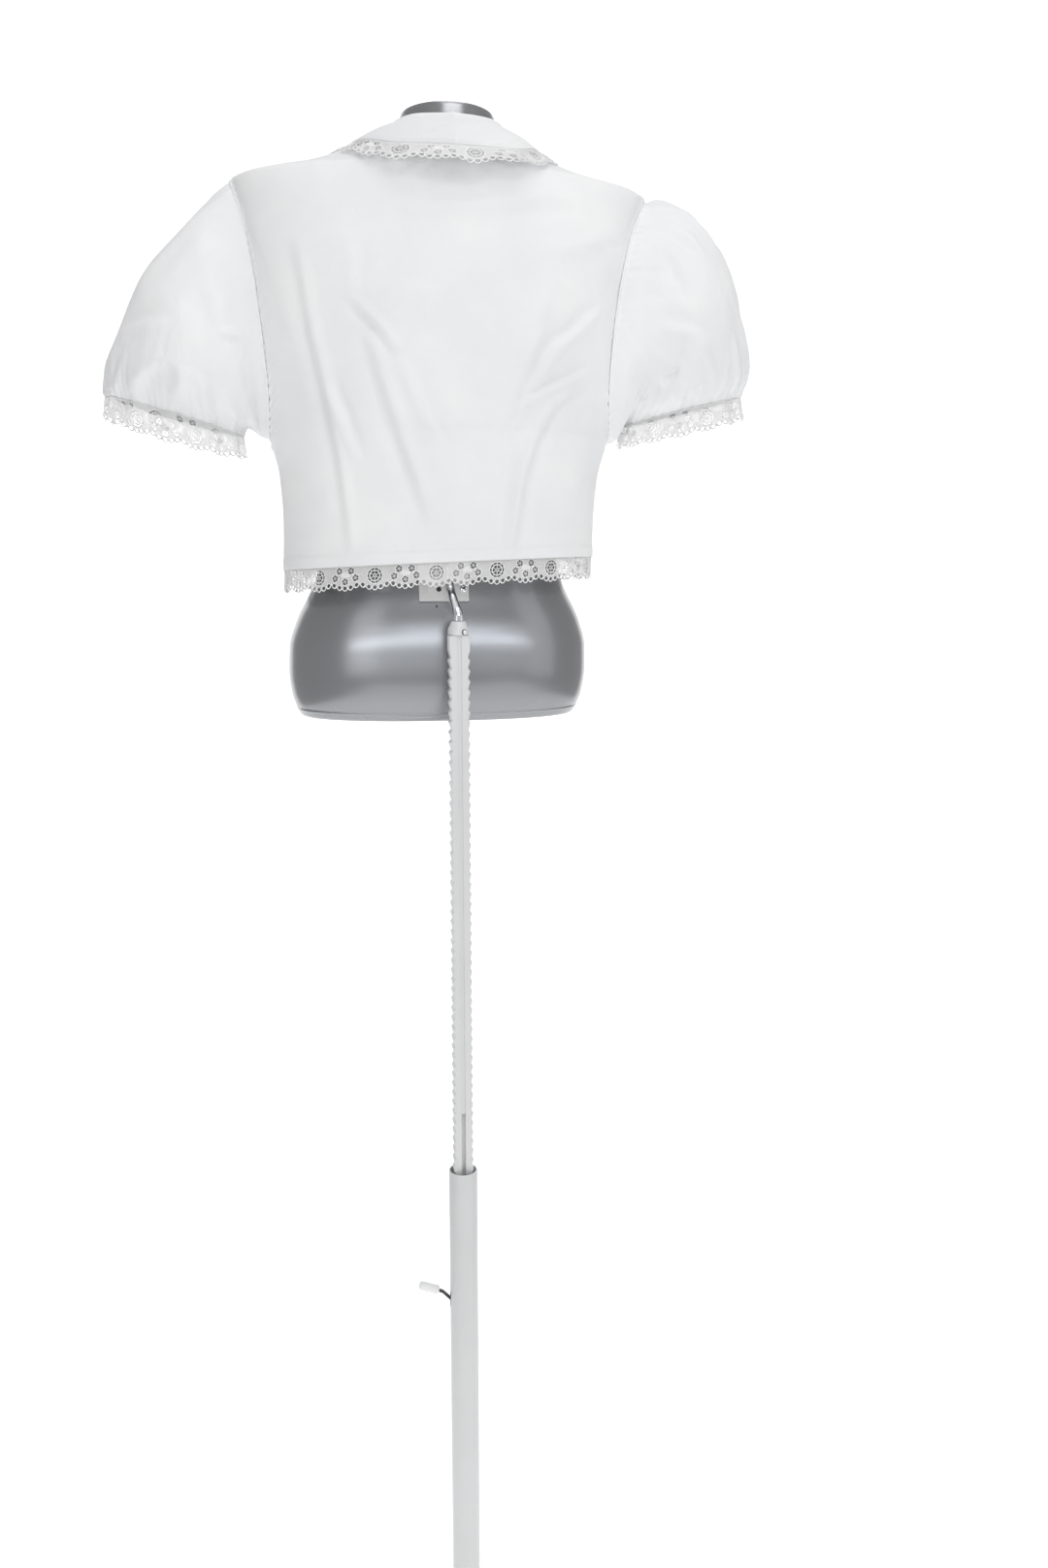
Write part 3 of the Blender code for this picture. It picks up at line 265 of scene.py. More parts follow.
def creaseLines(rows, place, count=26):
    # Turns rows of (points, height mm, width mm, side, trough, fade) into curves on the cloth.
    lines = []
    for points, height, width, side, trough, fade in rows:
        flat = smoothLine(points, count)
        lines.append({"curve": place(flat[:, 0], flat[:, 1]), "height": height / 1000, "width": width / 1000,
                      "side": side, "trough": trough, "fade": fade})
    return lines


# Finishes

def newMaterial(name):
    material = bpy.data.materials.new(name)
    material.use_nodes = True
    return material, material.node_tree, material.node_tree.nodes["Principled BSDF"]


def noiseNode(tree, place, scale, detail, roughness=0.5, distortion=0.0):
    node = tree.nodes.new("ShaderNodeTexNoise")
    node.inputs["Scale"].default_value = scale
    node.inputs["Detail"].default_value = detail
    node.inputs["Roughness"].default_value = roughness
    node.inputs["Distortion"].default_value = distortion
    tree.links.new(place, node.inputs["Vector"])
    return node.outputs["Fac"]


def rampNode(tree, value, low, high, dark, light):  # dark up to the low value, light from the high one on
    node = tree.nodes.new("ShaderNodeValToRGB")
    for element, place, colour in zip(node.color_ramp.elements, (low, high), (dark, light)):
        element.position = place
        element.color = (*colour, 1)
    tree.links.new(value, node.inputs["Fac"])
    return node.outputs["Color"]


def bumpNode(tree, height, distance, strength=1.0, under=None):
    node = tree.nodes.new("ShaderNodeBump")
    node.inputs["Strength"].default_value = strength
    node.inputs["Distance"].default_value = distance
    tree.links.new(height, node.inputs["Height"])
    if under is not None:
        tree.links.new(under, node.inputs["Normal"])
    return node.outputs["Normal"]


def mathNode(tree, operation, first, second=0.0):
    node = tree.nodes.new("ShaderNodeMath")
    node.operation = operation
    for place, value in enumerate((first, second)):
        if isinstance(value, (int, float)):
            node.inputs[place].default_value = value
        else:
            tree.links.new(value, node.inputs[place])
    return node.outputs[0]


def finish(name, colour, roughness, metallic=0.0, vary=0.03, varySize=0.06, bumpSize=0.002, bumpHeight=0.0,
           **sockets):
    # A painted, moulded or plated surface: its colour and gloss drift a little, and fine grain lifts it.
    material, tree, shader = newMaterial(name)
    shader.inputs["Metallic"].default_value = metallic
    for socket, value in sockets.items():
        shader.inputs[socket.replace("_", " ")].default_value = value
    place = tree.nodes.new("ShaderNodeTexCoord").outputs["Object"]
    drift = noiseNode(tree, place, 1 / varySize, 4)
    dark, light = [c * (1 - vary) for c in colour], [min(1, c * (1 + vary)) for c in colour]
    tree.links.new(rampNode(tree, drift, 0.3, 0.7, dark, light), shader.inputs["Base Color"])
    gloss = tree.nodes.new("ShaderNodeMapRange")
    gloss.inputs["To Min"].default_value = roughness * 0.88
    gloss.inputs["To Max"].default_value = roughness * 1.12
    tree.links.new(drift, gloss.inputs["Value"])
    tree.links.new(gloss.outputs["Result"], shader.inputs["Roughness"])
    if bumpHeight:
        grain = noiseNode(tree, place, 1 / bumpSize, 3)
        tree.links.new(bumpNode(tree, grain, bumpHeight), shader.inputs["Normal"])
    return material


weave = {"name": "cottonCloth", "dark": (0.845, 0.855, 0.875), "light": (0.935, 0.938, 0.940),
         "driftScale": 9.0, "roughness": 0.82, "sheen": 0.25, "sheenRoughness": 0.5, "specular": 0.25,
         "threadPitch": 0.00055, "threadHeight": 0.00010, "threadStrength": 0.55, "slubScale": (900, 60, 1),
         "slubShare": 1.5, "creaseSize": 0.014, "creaseHeight": 0.0011, "creaseStrength": 0.5}


def makeCotton(spec):
    # Plain weave on the cloth's own map: sin(u) * sin(v) at the thread pitch, with thick and thin threads,
    # and the fine creasing of worn cotton over it.
    material, tree, shader = newMaterial(spec["name"])
    shader.inputs["Roughness"].default_value = spec["roughness"]
    shader.inputs["Sheen Weight"].default_value = spec["sheen"]
    shader.inputs["Sheen Roughness"].default_value = spec["sheenRoughness"]
    shader.inputs["Specular IOR Level"].default_value = spec["specular"]
    mapNode = tree.nodes.new("ShaderNodeUVMap")
    mapNode.uv_map = "cloth"
    place = mapNode.outputs["UV"]
    split = tree.nodes.new("ShaderNodeSeparateXYZ")
    tree.links.new(place, split.inputs["Vector"])
    turns = 2 * math.pi / spec["threadPitch"]
    across, upward = (mathNode(tree, "SINE", mathNode(tree, "MULTIPLY", split.outputs[axis], turns))
                      for axis in "XY")
    stretch = tree.nodes.new("ShaderNodeMapping")
    stretch.inputs["Scale"].default_value = spec["slubScale"]
    tree.links.new(place, stretch.inputs["Vector"])
    slub = noiseNode(tree, stretch.outputs["Vector"], 1.0, 2)
    height = mathNode(tree, "ADD", mathNode(tree, "MULTIPLY", across, upward),
                      mathNode(tree, "MULTIPLY", slub, spec["slubShare"]))
    threads = bumpNode(tree, height, spec["threadHeight"], spec["threadStrength"])
    soft = noiseNode(tree, place, 1 / spec["creaseSize"], 5, 0.58, 0.6)
    creased = bumpNode(tree, soft, spec["creaseHeight"], spec["creaseStrength"], threads)
    tree.links.new(creased, shader.inputs["Normal"])
    drift = noiseNode(tree, place, spec["driftScale"], 6)
    colour = rampNode(tree, drift, 0.25, 0.7, spec["dark"], spec["light"])
    tree.links.new(colour, shader.inputs["Base Color"])
    return material


cotton = makeCotton(weave)
laceThread = finish("laceThread", (0.93, 0.93, 0.925), 0.75, vary=0.04, varySize=0.006, bumpSize=0.0006,
                    bumpHeight=0.00015, Sheen_Weight=0.3)
stitchThread = finish("stitchThread", (0.90, 0.905, 0.91), 0.7, vary=0.03, varySize=0.004, bumpSize=0.0005,
                      bumpHeight=0.0001, Sheen_Weight=0.3)
pearl = finish("pearlButton", (0.90, 0.895, 0.87), 0.22, vary=0.06, varySize=0.004, Coat_Weight=0.6,
               Coat_Roughness=0.08)
satinGrey = finish("satinGrey", (0.300, 0.305, 0.318), 0.25, 0.72, vary=0.02, varySize=0.16, bumpSize=0.0012,
                   bumpHeight=0.00004, Coat_Weight=0.25, Coat_Roughness=0.22)
whitePaint = finish("whitePaint", (0.69, 0.695, 0.70), 0.36, vary=0.02, varySize=0.05, bumpSize=0.0016,
                    bumpHeight=0.00005, Coat_Weight=0.2, Coat_Roughness=0.25)
platePaint = finish("platePaint", (0.66, 0.655, 0.65), 0.42, vary=0.05, varySize=0.02, bumpSize=0.001,
                    bumpHeight=0.00004)
plated = finish("platedSteel", (0.78, 0.79, 0.81), 0.16, 1.0, vary=0.05, varySize=0.01)
blackSteel = finish("blackSteel", (0.045, 0.045, 0.042), 0.42, 0.7, vary=0.15, varySize=0.01, bumpSize=0.0008,
                    bumpHeight=0.00005)
moulded = finish("mouldedGrip", (0.86, 0.865, 0.87), 0.48, vary=0.02, varySize=0.01, bumpSize=0.0007,
                 bumpHeight=0.00004)
print("finishes made")


# The worn body of the blouse

body = table("z halfWidth back front centreY power", [
    (1.230, 0.1630, 0.118, 0.112, 0.134, 2.35),
    (1.310, 0.1620, 0.117, 0.117, 0.133, 2.35),
    (1.360, 0.1655, 0.116, 0.120, 0.131, 2.35),
    (1.396, 0.1740, 0.115, 0.123, 0.129, 2.40),
    (1.440, 0.1790, 0.115, 0.122, 0.127, 2.40),
    (1.500, 0.1880, 0.114, 0.102, 0.124, 2.35),
    (1.560, 0.1960, 0.108, 0.078, 0.120, 2.30),
    (1.600, 0.2020, 0.100, 0.060, 0.118, 2.15),
    (1.637, 0.2075, 0.089, 0.046, 0.116, 1.95),
    (1.648, 0.1550, 0.083, 0.040, 0.113, 1.80),
    (1.656, 0.1250, 0.078, 0.036, 0.109, 1.80),
    (1.664, 0.0950, 0.073, 0.034, 0.105, 1.85),
    (1.674, 0.0560, 0.066, 0.032, 0.098, 2.00),
])
cut = {"hem": 1.2695, "hemTilt": 0.046, "underarm": 1.396, "tip": 1.637, "neckPoint": 1.671,
       "backNeck": 1.660, "neckShare": 0.36, "armholeLeft": 18.0, "armholeRight": 30.0, "armholeFront": 30.0,
       "seamGap": 0.0003, "armholeRadius": 0.11, "neckHalfWidth": 0.0664, "neckCentreY": 0.100,
       "frontNeckY": 0.178, "lowestNeck": 1.56}
cloth = {"outside": 0.0015, "thickness": 0.0006, "crumple": 0.0011,
         "hemBand": 0.0125, "bandLift": 0.0005, "bandEdge": 0.0005,
         "stitchDip": 0.00035, "stitchWidth": 0.0011,
         "seamDip": 0.0005, "seamWidth": 0.0016, "seamCalm": 0.02, "shoulderCalm": 0.05, "armholeFoot": 0.012,
         "seamRidge": 0.0009, "ridgeAt": 0.0045, "ridgeWidth": 0.0028, "ridgeDip": 1.1,
         "pucker": 0.0009, "puckerPitch": 0.0085, "puckerReach": 0.010}


def bodySurface(angle, z):
    return ringPoint(body, angle, z)


def seamAngle(z):  # where a side or shoulder seam lies: half a seam gap short of the widest line
    depth = np.minimum(column(body, "back", z), column(body, "front", z))
    return np.degrees(np.arccos((cut["seamGap"] / 2 / depth)**(column(body, "power", z) / 2)))


def armholeEdge(share, depth, inset=0.0):
    # From the underarm at share 0 to the shoulder tip at 1, cut in by a sine of the share.
    middle, half = (cut["tip"] + cut["underarm"]) / 2, (cut["tip"] - cut["underarm"]) / 2 - inset
    z = middle - half * np.cos(np.pi * share)
    return seamAngle(z) - (depth - np.degrees(inset / cut["armholeRadius"])) * np.sin(np.pi * share)**0.8, z


def hemHeight(angle):
    return cut["hem"] + cut["hemTilt"] * bodySurface(angle, np.full(np.shape(angle), cut["hem"]))[..., 0]


def backNeck(angle):
    return cut["backNeck"] + (cut["neckPoint"] - cut["backNeck"]) * np.sin(np.radians(angle))**2


def frontNeck(turn):
    # Angle and height where an oval neckline crosses the body, found by halving; turn 0 is the centre front.
    x = cut["neckHalfWidth"] * np.sin(np.radians(turn))
    y = cut["neckCentreY"] + (cut["frontNeckY"] - cut["neckCentreY"]) * np.cos(np.radians(turn))
    low, high = np.full(np.shape(turn), cut["lowestNeck"]), np.full(np.shape(turn), cut["neckPoint"] + 0.001)
    for _ in range(30):
        z = (low + high) / 2
        power = column(body, "power", z)
        across = x / column(body, "halfWidth", z)
        forward = np.maximum(y - column(body, "centreY", z), 0) / column(body, "front", z)
        inside = across**power + forward**power < 1
        low, high = np.where(inside, z, low), np.where(inside, high, z)
    return np.degrees(np.arctan2(across**(power / 2), -forward**(power / 2))), z


def patch(low, high, left, right):  # a net between four edges: the two blends of edges less that of corners
    up = np.linspace(0, 1, len(left))[:, None, None]
    across = np.linspace(0, 1, len(low))[None, :, None]
    net = (1 - up) * low[None] + up * high[None] + (1 - across) * left[:, None] + across * right[:, None]
    net -= (1 - up) * ((1 - across) * low[0] + across * low[-1])
    return net - up * ((1 - across) * high[0] + across * high[-1])


def pairs(angle, z):
    return np.stack([angle + 0 * z, z + 0 * angle], axis=-1)


def lowerNet(lowAngle, rows):  # from the hem to the underarm
    hem = hemHeight(lowAngle)
    up = np.linspace(0, 1, rows)[:, None]
    return pairs(lowAngle[None] + 0 * up, hem[None] + (cut["underarm"] - hem[None]) * up)


def arcs(grid, axis):  # running length along a grid's rows or columns
    steps = np.linalg.norm(np.diff(grid, axis=axis), axis=-1)
    first = np.zeros_like(np.take(steps, [0], axis=axis))
    return np.concatenate([first, np.cumsum(steps, axis=axis)], axis=axis)


def edgeRelief(away, along, seed):
    # Beside a sewn armhole: a raised seam allowance, a dip at the seam itself, and puckers that die out.
    allowance = np.exp(-((away - cloth["ridgeAt"]) / cloth["ridgeWidth"])**2)
    ridge = cloth["seamRidge"] * (allowance - cloth["ridgeDip"] * np.exp(-(away / cloth["seamWidth"])**2))
    wander = 1 + 0.6 * softNoise(along / 0.03, 0 * along + 3.5, seed)
    shift = 3 * softNoise(along / 0.025, 0 * along, seed + 4)
    waves = np.sin(2 * np.pi * along / cloth["puckerPitch"] + shift)
    return ridge + cloth["pucker"] * wander * waves * np.exp(-away / cloth["puckerReach"])


def panel(name, node, net, creases, seed, armholes):
    # The panel lies on the solid's outer face. Its relief is the sum of the given creases, worn crumples
    # that calm down beside the side seams, the hem band, and the seams' dips, ridges and puckers.
    angle, z = net[..., 0], net[..., 1]
    base, normals = bodySurface(angle, z), outward(bodySurface, angle, z)
    along, up = arcs(base, 1), arcs(base, 0)
    seam = np.minimum(along, along[:, -1:] - along)
    relief = -cloth["seamDip"] * np.exp(-(seam / cloth["seamWidth"])**2)
    calm = np.clip(seam / cloth["seamCalm"], 0.25, 1)
    relief = relief + cloth["crumple"] * crumple(base[..., 0], z, seed) * calm
    relief = relief + creaseField(base, normals, creaseLines(creases, clothAt(node != "back")))
    above = z >= cut["underarm"] - cloth["armholeFoot"]
    for atStart in armholes:
        away = along if atStart else along[:, -1:] - along
        relief = relief + edgeRelief(away, up, seed + 7) * above
    relief = relief * np.clip(0.35 + (up[-1:] - up) / cloth["shoulderCalm"], 0.35, 1)
    over = up - cloth["hemBand"]
    band = 1 / (1 + np.exp(np.clip(over, -0.02, 0.02) / cloth["bandEdge"]))
    stitched = cloth["stitchDip"] * np.exp(-(over / cloth["stitchWidth"])**2)
    relief = relief + cloth["bandLift"] * band - stitched
    outer = base + normals * (cloth["outside"] + relief)[..., None]
    inner = outer - normals * cloth["thickness"]
    middle = along.shape[1] // 2
    uv = np.stack([along - along[:, middle:middle + 1], up], axis=-1)
    piece = finishMesh(name, wallMesh(name, outer, inner, uv=uv), "form", cotton)
    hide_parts(node)
    return piece, outer, normals


def backNet(columns, lowerRows, upperRows):
    share = np.linspace(-1, 1, columns)
    low = share * seamAngle(cut["underarm"])
    neck = np.clip(np.abs(share) / cut["neckShare"], 0, 1)
    slope = np.clip((np.abs(share) - cut["neckShare"]) / (1 - cut["neckShare"]), 0, 1)
    shoulder = cut["neckPoint"] + (cut["tip"] - cut["neckPoint"]) * slope
    angle = np.where(slope > 0, seamAngle(shoulder), neck * seamAngle(cut["neckPoint"]))
    top = pairs(np.sign(share) * angle, np.where(slope > 0, shoulder, backNeck(neck * 90)))
    rise = np.linspace(0, 1, upperRows)
    left = pairs(*armholeEdge(rise, cut["armholeLeft"])) * (-1, 1)
    right = pairs(*armholeEdge(rise, cut["armholeRight"]))
    upper = patch(pairs(low, np.full(columns, cut["underarm"])), top, left, right)
    return np.concatenate([lowerNet(low, lowerRows)[:-1], upper])


def frontNet(sign, columns, lowerRows, upperRows):
    share = np.linspace(0, 1, columns)
    edge = np.degrees((cut["seamGap"] / 2 / column(body, "halfWidth", cut["underarm"]))**1.2)
    side = 180 - seamAngle(cut["underarm"])
    low = (180 - edge) + (side - 180 + edge) * share
    turn = np.clip(share / cut["neckShare"], 0, 1) * 90
    slope = np.clip((share - cut["neckShare"]) / (1 - cut["neckShare"]), 0, 1)
    shoulder = cut["neckPoint"] + (cut["tip"] - cut["neckPoint"]) * slope
    neckAngle, neckHeight = frontNeck(turn)
    neckAngle = np.clip(neckAngle, 180 - seamAngle(cut["neckPoint"]), 180 - edge)
    angle = np.where(slope > 0, 180 - seamAngle(shoulder), neckAngle)
    top = pairs(angle, np.where(slope > 0, shoulder, neckHeight))
    rise = np.linspace(0, 1, upperRows)
    armAngle, armHeight = armholeEdge(rise, cut["armholeFront"])
    arm = pairs(180 - armAngle, armHeight)
    centre = pairs(np.full(upperRows, 180 - edge), cut["underarm"] + (neckHeight[0] - cut["underarm"]) * rise)
    upper = patch(pairs(low, np.full(columns, cut["underarm"])), top, centre, arm)
    return np.concatenate([lowerNet(sign * low, lowerRows)[:-1], upper * (sign, 1)])


# Creases of the back as seen on the worn blouse. Each row: points (x, z), height mm, width mm, the side its
# trough lies on, the trough's share and how slowly it fades.
backCreases = [
    ([(-0.145, 1.572), (-0.138, 1.530), (-0.131, 1.486), (-0.118, 1.426), (-0.108, 1.370), (-0.098, 1.276)],
     4.2, 6.5, -1, 0.7, 0.5),
    ([(-0.121, 1.437), (-0.106, 1.401), (-0.093, 1.362)], 3.4, 5, 1, 0.8, 0.7),
    ([(-0.096, 1.514), (-0.082, 1.499), (-0.069, 1.486), (-0.052, 1.462)], 3.2, 4, -1, 1.0, 0.6),
    ([(-0.080, 1.486), (-0.059, 1.415), (-0.040, 1.360), (-0.021, 1.306)], 4.4, 6.5, -1, 0.8, 0.5),
    ([(-0.054, 1.461), (-0.030, 1.408), (-0.016, 1.374)], 2.8, 6, 1, 0.7, 0.7),
    ([(0.151, 1.519), (0.124, 1.492), (0.100, 1.472), (0.080, 1.440), (0.064, 1.418)],
     4.4, 5.5, -1, 0.8, 0.5),
    ([(0.060, 1.415), (0.087, 1.431), (0.115, 1.445), (0.140, 1.458)], 3.0, 4, 1, 0.9, 0.6),
    ([(0.088, 1.414), (0.067, 1.373), (0.052, 1.285)], 4.0, 6, -1, 0.8, 0.5),
    ([(0.137, 1.450), (0.100, 1.423), (0.076, 1.379), (0.061, 1.320), (0.056, 1.276)], 3.8, 5.5, 1, 0.8, 0.5),
    ([(0.094, 1.528), (0.067, 1.445), (0.043, 1.396), (0.028, 1.358)], 2.8, 8, 1, 0.7, 0.6),
    ([(-0.095, 1.566), (-0.096, 1.510)], 1.6, 6, 1, 0.6, 0.8),
    ([(0.150, 1.614), (0.110, 1.616), (0.020, 1.601), (-0.070, 1.597)], 2.0, 9, 1, 0.8, 0.8),
    ([(0.166, 1.590), (0.128, 1.572), (0.080, 1.560)], 2.0, 8, 1, 0.7, 0.8),
]


def angleAt(x, z, front):  # the ring's angle at a sideways place: the flattened ring's sine, undone
    sideways = x - leanPerMetre * (z - leanPivot)
    reach = np.clip(np.abs(sideways) / column(body, "halfWidth", z), 0, 0.9999)
    angle = np.sign(sideways) * np.degrees(np.arcsin(reach**(column(body, "power", z) / 2)))
    return np.where(front, np.where(angle >= 0, 180 - angle, -180 - angle), angle)


def clothAt(front):
    return lambda x, z: bodySurface(angleAt(x, z, front), z)


frontCreases = [  # the same kinds of crease on the hidden side
    ([(-0.150, 1.500), (-0.120, 1.430), (-0.095, 1.360), (-0.080, 1.285)], 3.0, 8, 1, 0.9, 0.5),
    ([(-0.100, 1.470), (-0.070, 1.400), (-0.045, 1.310)], 2.4, 7, -1, 0.8, 0.6),
    ([(-0.150, 1.440), (-0.110, 1.425), (-0.075, 1.440)], 2.2, 6, 1, 0.8, 0.6),
    ([(-0.060, 1.560), (-0.075, 1.500), (-0.070, 1.450)], 1.6, 7, 1, 0.7, 0.7),
    ([(0.150, 1.495), (0.110, 1.440), (0.080, 1.370), (0.060, 1.290)], 3.2, 8, -1, 0.9, 0.5),
    ([(0.090, 1.460), (0.095, 1.380), (0.105, 1.295)], 2.2, 8, 1, 0.8, 0.6),
    ([(0.155, 1.430), (0.120, 1.420), (0.085, 1.435)], 2.4, 6, -1, 0.8, 0.6),
    ([(0.060, 1.555), (0.070, 1.490), (0.055, 1.430)], 1.7, 7, -1, 0.7, 0.7),
    ([(0.040, 1.420), (0.035, 1.350), (0.045, 1.290)], 1.8, 6, 1, 0.7, 0.7),
]
back, backOuter, backNormals = panel(
    "back_cloth", "back", backNet(191, 72, 150), backCreases, 11, (True, False))
frontRight, frontRightOuter, frontRightNormals = panel(
    "front_right_cloth", "front_right", frontNet(1, 90, 60, 100), frontCreases, 23, (False,))
frontLeft, frontLeftOuter, frontLeftNormals = panel(
    "front_left_cloth", "front_left", frontNet(-1, 90, 60, 100), frontCreases, 37, (False,))
print("body panels made")


# The sleeves

sleeveColumns = "step outerX outerZ innerX innerZ halfDepth centreY"
sleeves = {
    "left": table(sleeveColumns, [
        (0.00, 0.2086, 1.637, 0.1790, 1.3960, 0.050, 0.118),
        (0.06, 0.2210, 1.626, 0.1870, 1.3980, 0.050, 0.118),
        (0.22, 0.2500, 1.594, 0.1910, 1.4020, 0.062, 0.118),
        (0.45, 0.2940, 1.545, 0.1950, 1.4050, 0.071, 0.119),
        (0.65, 0.3160, 1.498, 0.1985, 1.4060, 0.073, 0.119),
        (0.86, 0.3330, 1.455, 0.2030, 1.4045, 0.064, 0.119),
        (1.00, 0.3345, 1.432, 0.2060, 1.3970, 0.043, 0.119),
    ]),
    "right": table(sleeveColumns, [
        (0.00, 0.2080, 1.639, 0.1760, 1.3960, 0.057, 0.118),
        (0.06, 0.2230, 1.641, 0.1840, 1.3990, 0.058, 0.118),
        (0.16, 0.2470, 1.634, 0.1850, 1.4050, 0.066, 0.118),
        (0.34, 0.2850, 1.601, 0.1850, 1.4140, 0.076, 0.119),
        (0.52, 0.3050, 1.564, 0.1850, 1.4200, 0.078, 0.119),
        (0.70, 0.3170, 1.520, 0.1850, 1.4230, 0.076, 0.119),
        (0.88, 0.3250, 1.472, 0.1885, 1.4220, 0.068, 0.119),
        (1.00, 0.3215, 1.446, 0.1920, 1.4150, 0.044, 0.119),
    ]),
}
gather = {"cuffWaves": 12, "cuffWaveDepth": 0.0026, "capWaves": 12, "capWaveStep": 0.10, "capWaveRun": 0.09,
          "capWaveDepth": {"left": 0.0005, "right": 0.0014}, "radius": 0.07, "blend": 0.22,
          "finePleats": 46, "finePleatDepth": 0.0011, "finePleatRun": 0.028, "capPleats": 44,
          "capPleatDepth": {"left": 0.0007, "right": 0.0007 * 2.4}, "capPleatRun": 0.022,
          "crumple": 0.0022, "cuffStitch": 0.0035, "stitchDip": 0.0009, "stitchWidth": 0.0014}


def armholeLoop(turn, sign, backCut, frontCut):
    share = np.arccos(-np.cos(turn)) / np.pi
    found = []
    for depth, front in ((backCut, False), (frontCut, True)):
        angle, z = armholeEdge(share, depth, 0.0003)
        angle = sign * np.where(front, 180 - angle, angle)
        found.append((bodySurface(angle, z), outward(bodySurface, angle, z)))
    behind = (np.sin(turn) >= 0)[:, None]
    return np.where(behind, found[0][0], found[1][0]), np.where(behind, found[0][1], found[1][1])


def sleeveSurface(side, steps, turn):
    # A ring at each step swings from the armhole to the cuff about the underarm. Its long axis runs from an
    # outer to an inner point, half its depth lies before and behind, and large waves stand at cap and cuff.
    # Near the armhole it blends into the edge of the panels.
    source, sign = sleeves[side], -1 if side == "left" else 1
    step, turn = steps[:, None], turn[None]
    outer = np.stack([column(source, "outerX", step), column(source, "outerZ", step)], axis=-1)
    inner = np.stack([column(source, "innerX", step), column(source, "innerZ", step)], axis=-1)
    wave = gather["cuffWaveDepth"] * step**5 * np.cos(gather["cuffWaves"] * turn)
    nearCap = np.exp(-((step - gather["capWaveStep"]) / gather["capWaveRun"])**2)
    crown = np.clip(np.cos(turn), 0, 1)**2 * nearCap
    wave = wave + gather["capWaveDepth"][side] * crown * np.cos(gather["capWaves"] * turn)
    centre, swing = (outer + inner) / 2, np.cos(turn)[..., None] / 2 * (outer - inner)
    centreY, halfDepth = column(source, "centreY", step), column(source, "halfDepth", step)
    plane = centre + swing * (1 + wave / gather["radius"])[..., None]
    y = centreY - (halfDepth + wave) * np.sin(turn)
    grid = np.stack([sign * plane[..., 0], y, plane[..., 1]], axis=-1)
    cutBack = cut["armholeLeft"] if side == "left" else cut["armholeRight"]
    loop, loopNormal = armholeLoop(turn[0], sign, cutBack, cut["armholeFront"])
    weight = (np.clip(1 - step / gather["blend"], 0, 1)**2)[..., None]
    flat, flatY = (centre + swing)[0], (centreY - halfDepth * np.sin(turn))[0]
    start = np.stack([sign * flat[:, 0], flatY, flat[:, 1]], axis=-1)
    grid = grid + weight * (loop - start)[None]
    normal = gridNormals(grid, closed=True)
    middle = grid.mean(axis=1, keepdims=True)
    normal = normal * np.sign((normal * (grid - middle)).sum(axis=(1, 2), keepdims=True))
    return grid, unit(normal * (1 - weight) + loopNormal[None] * weight)


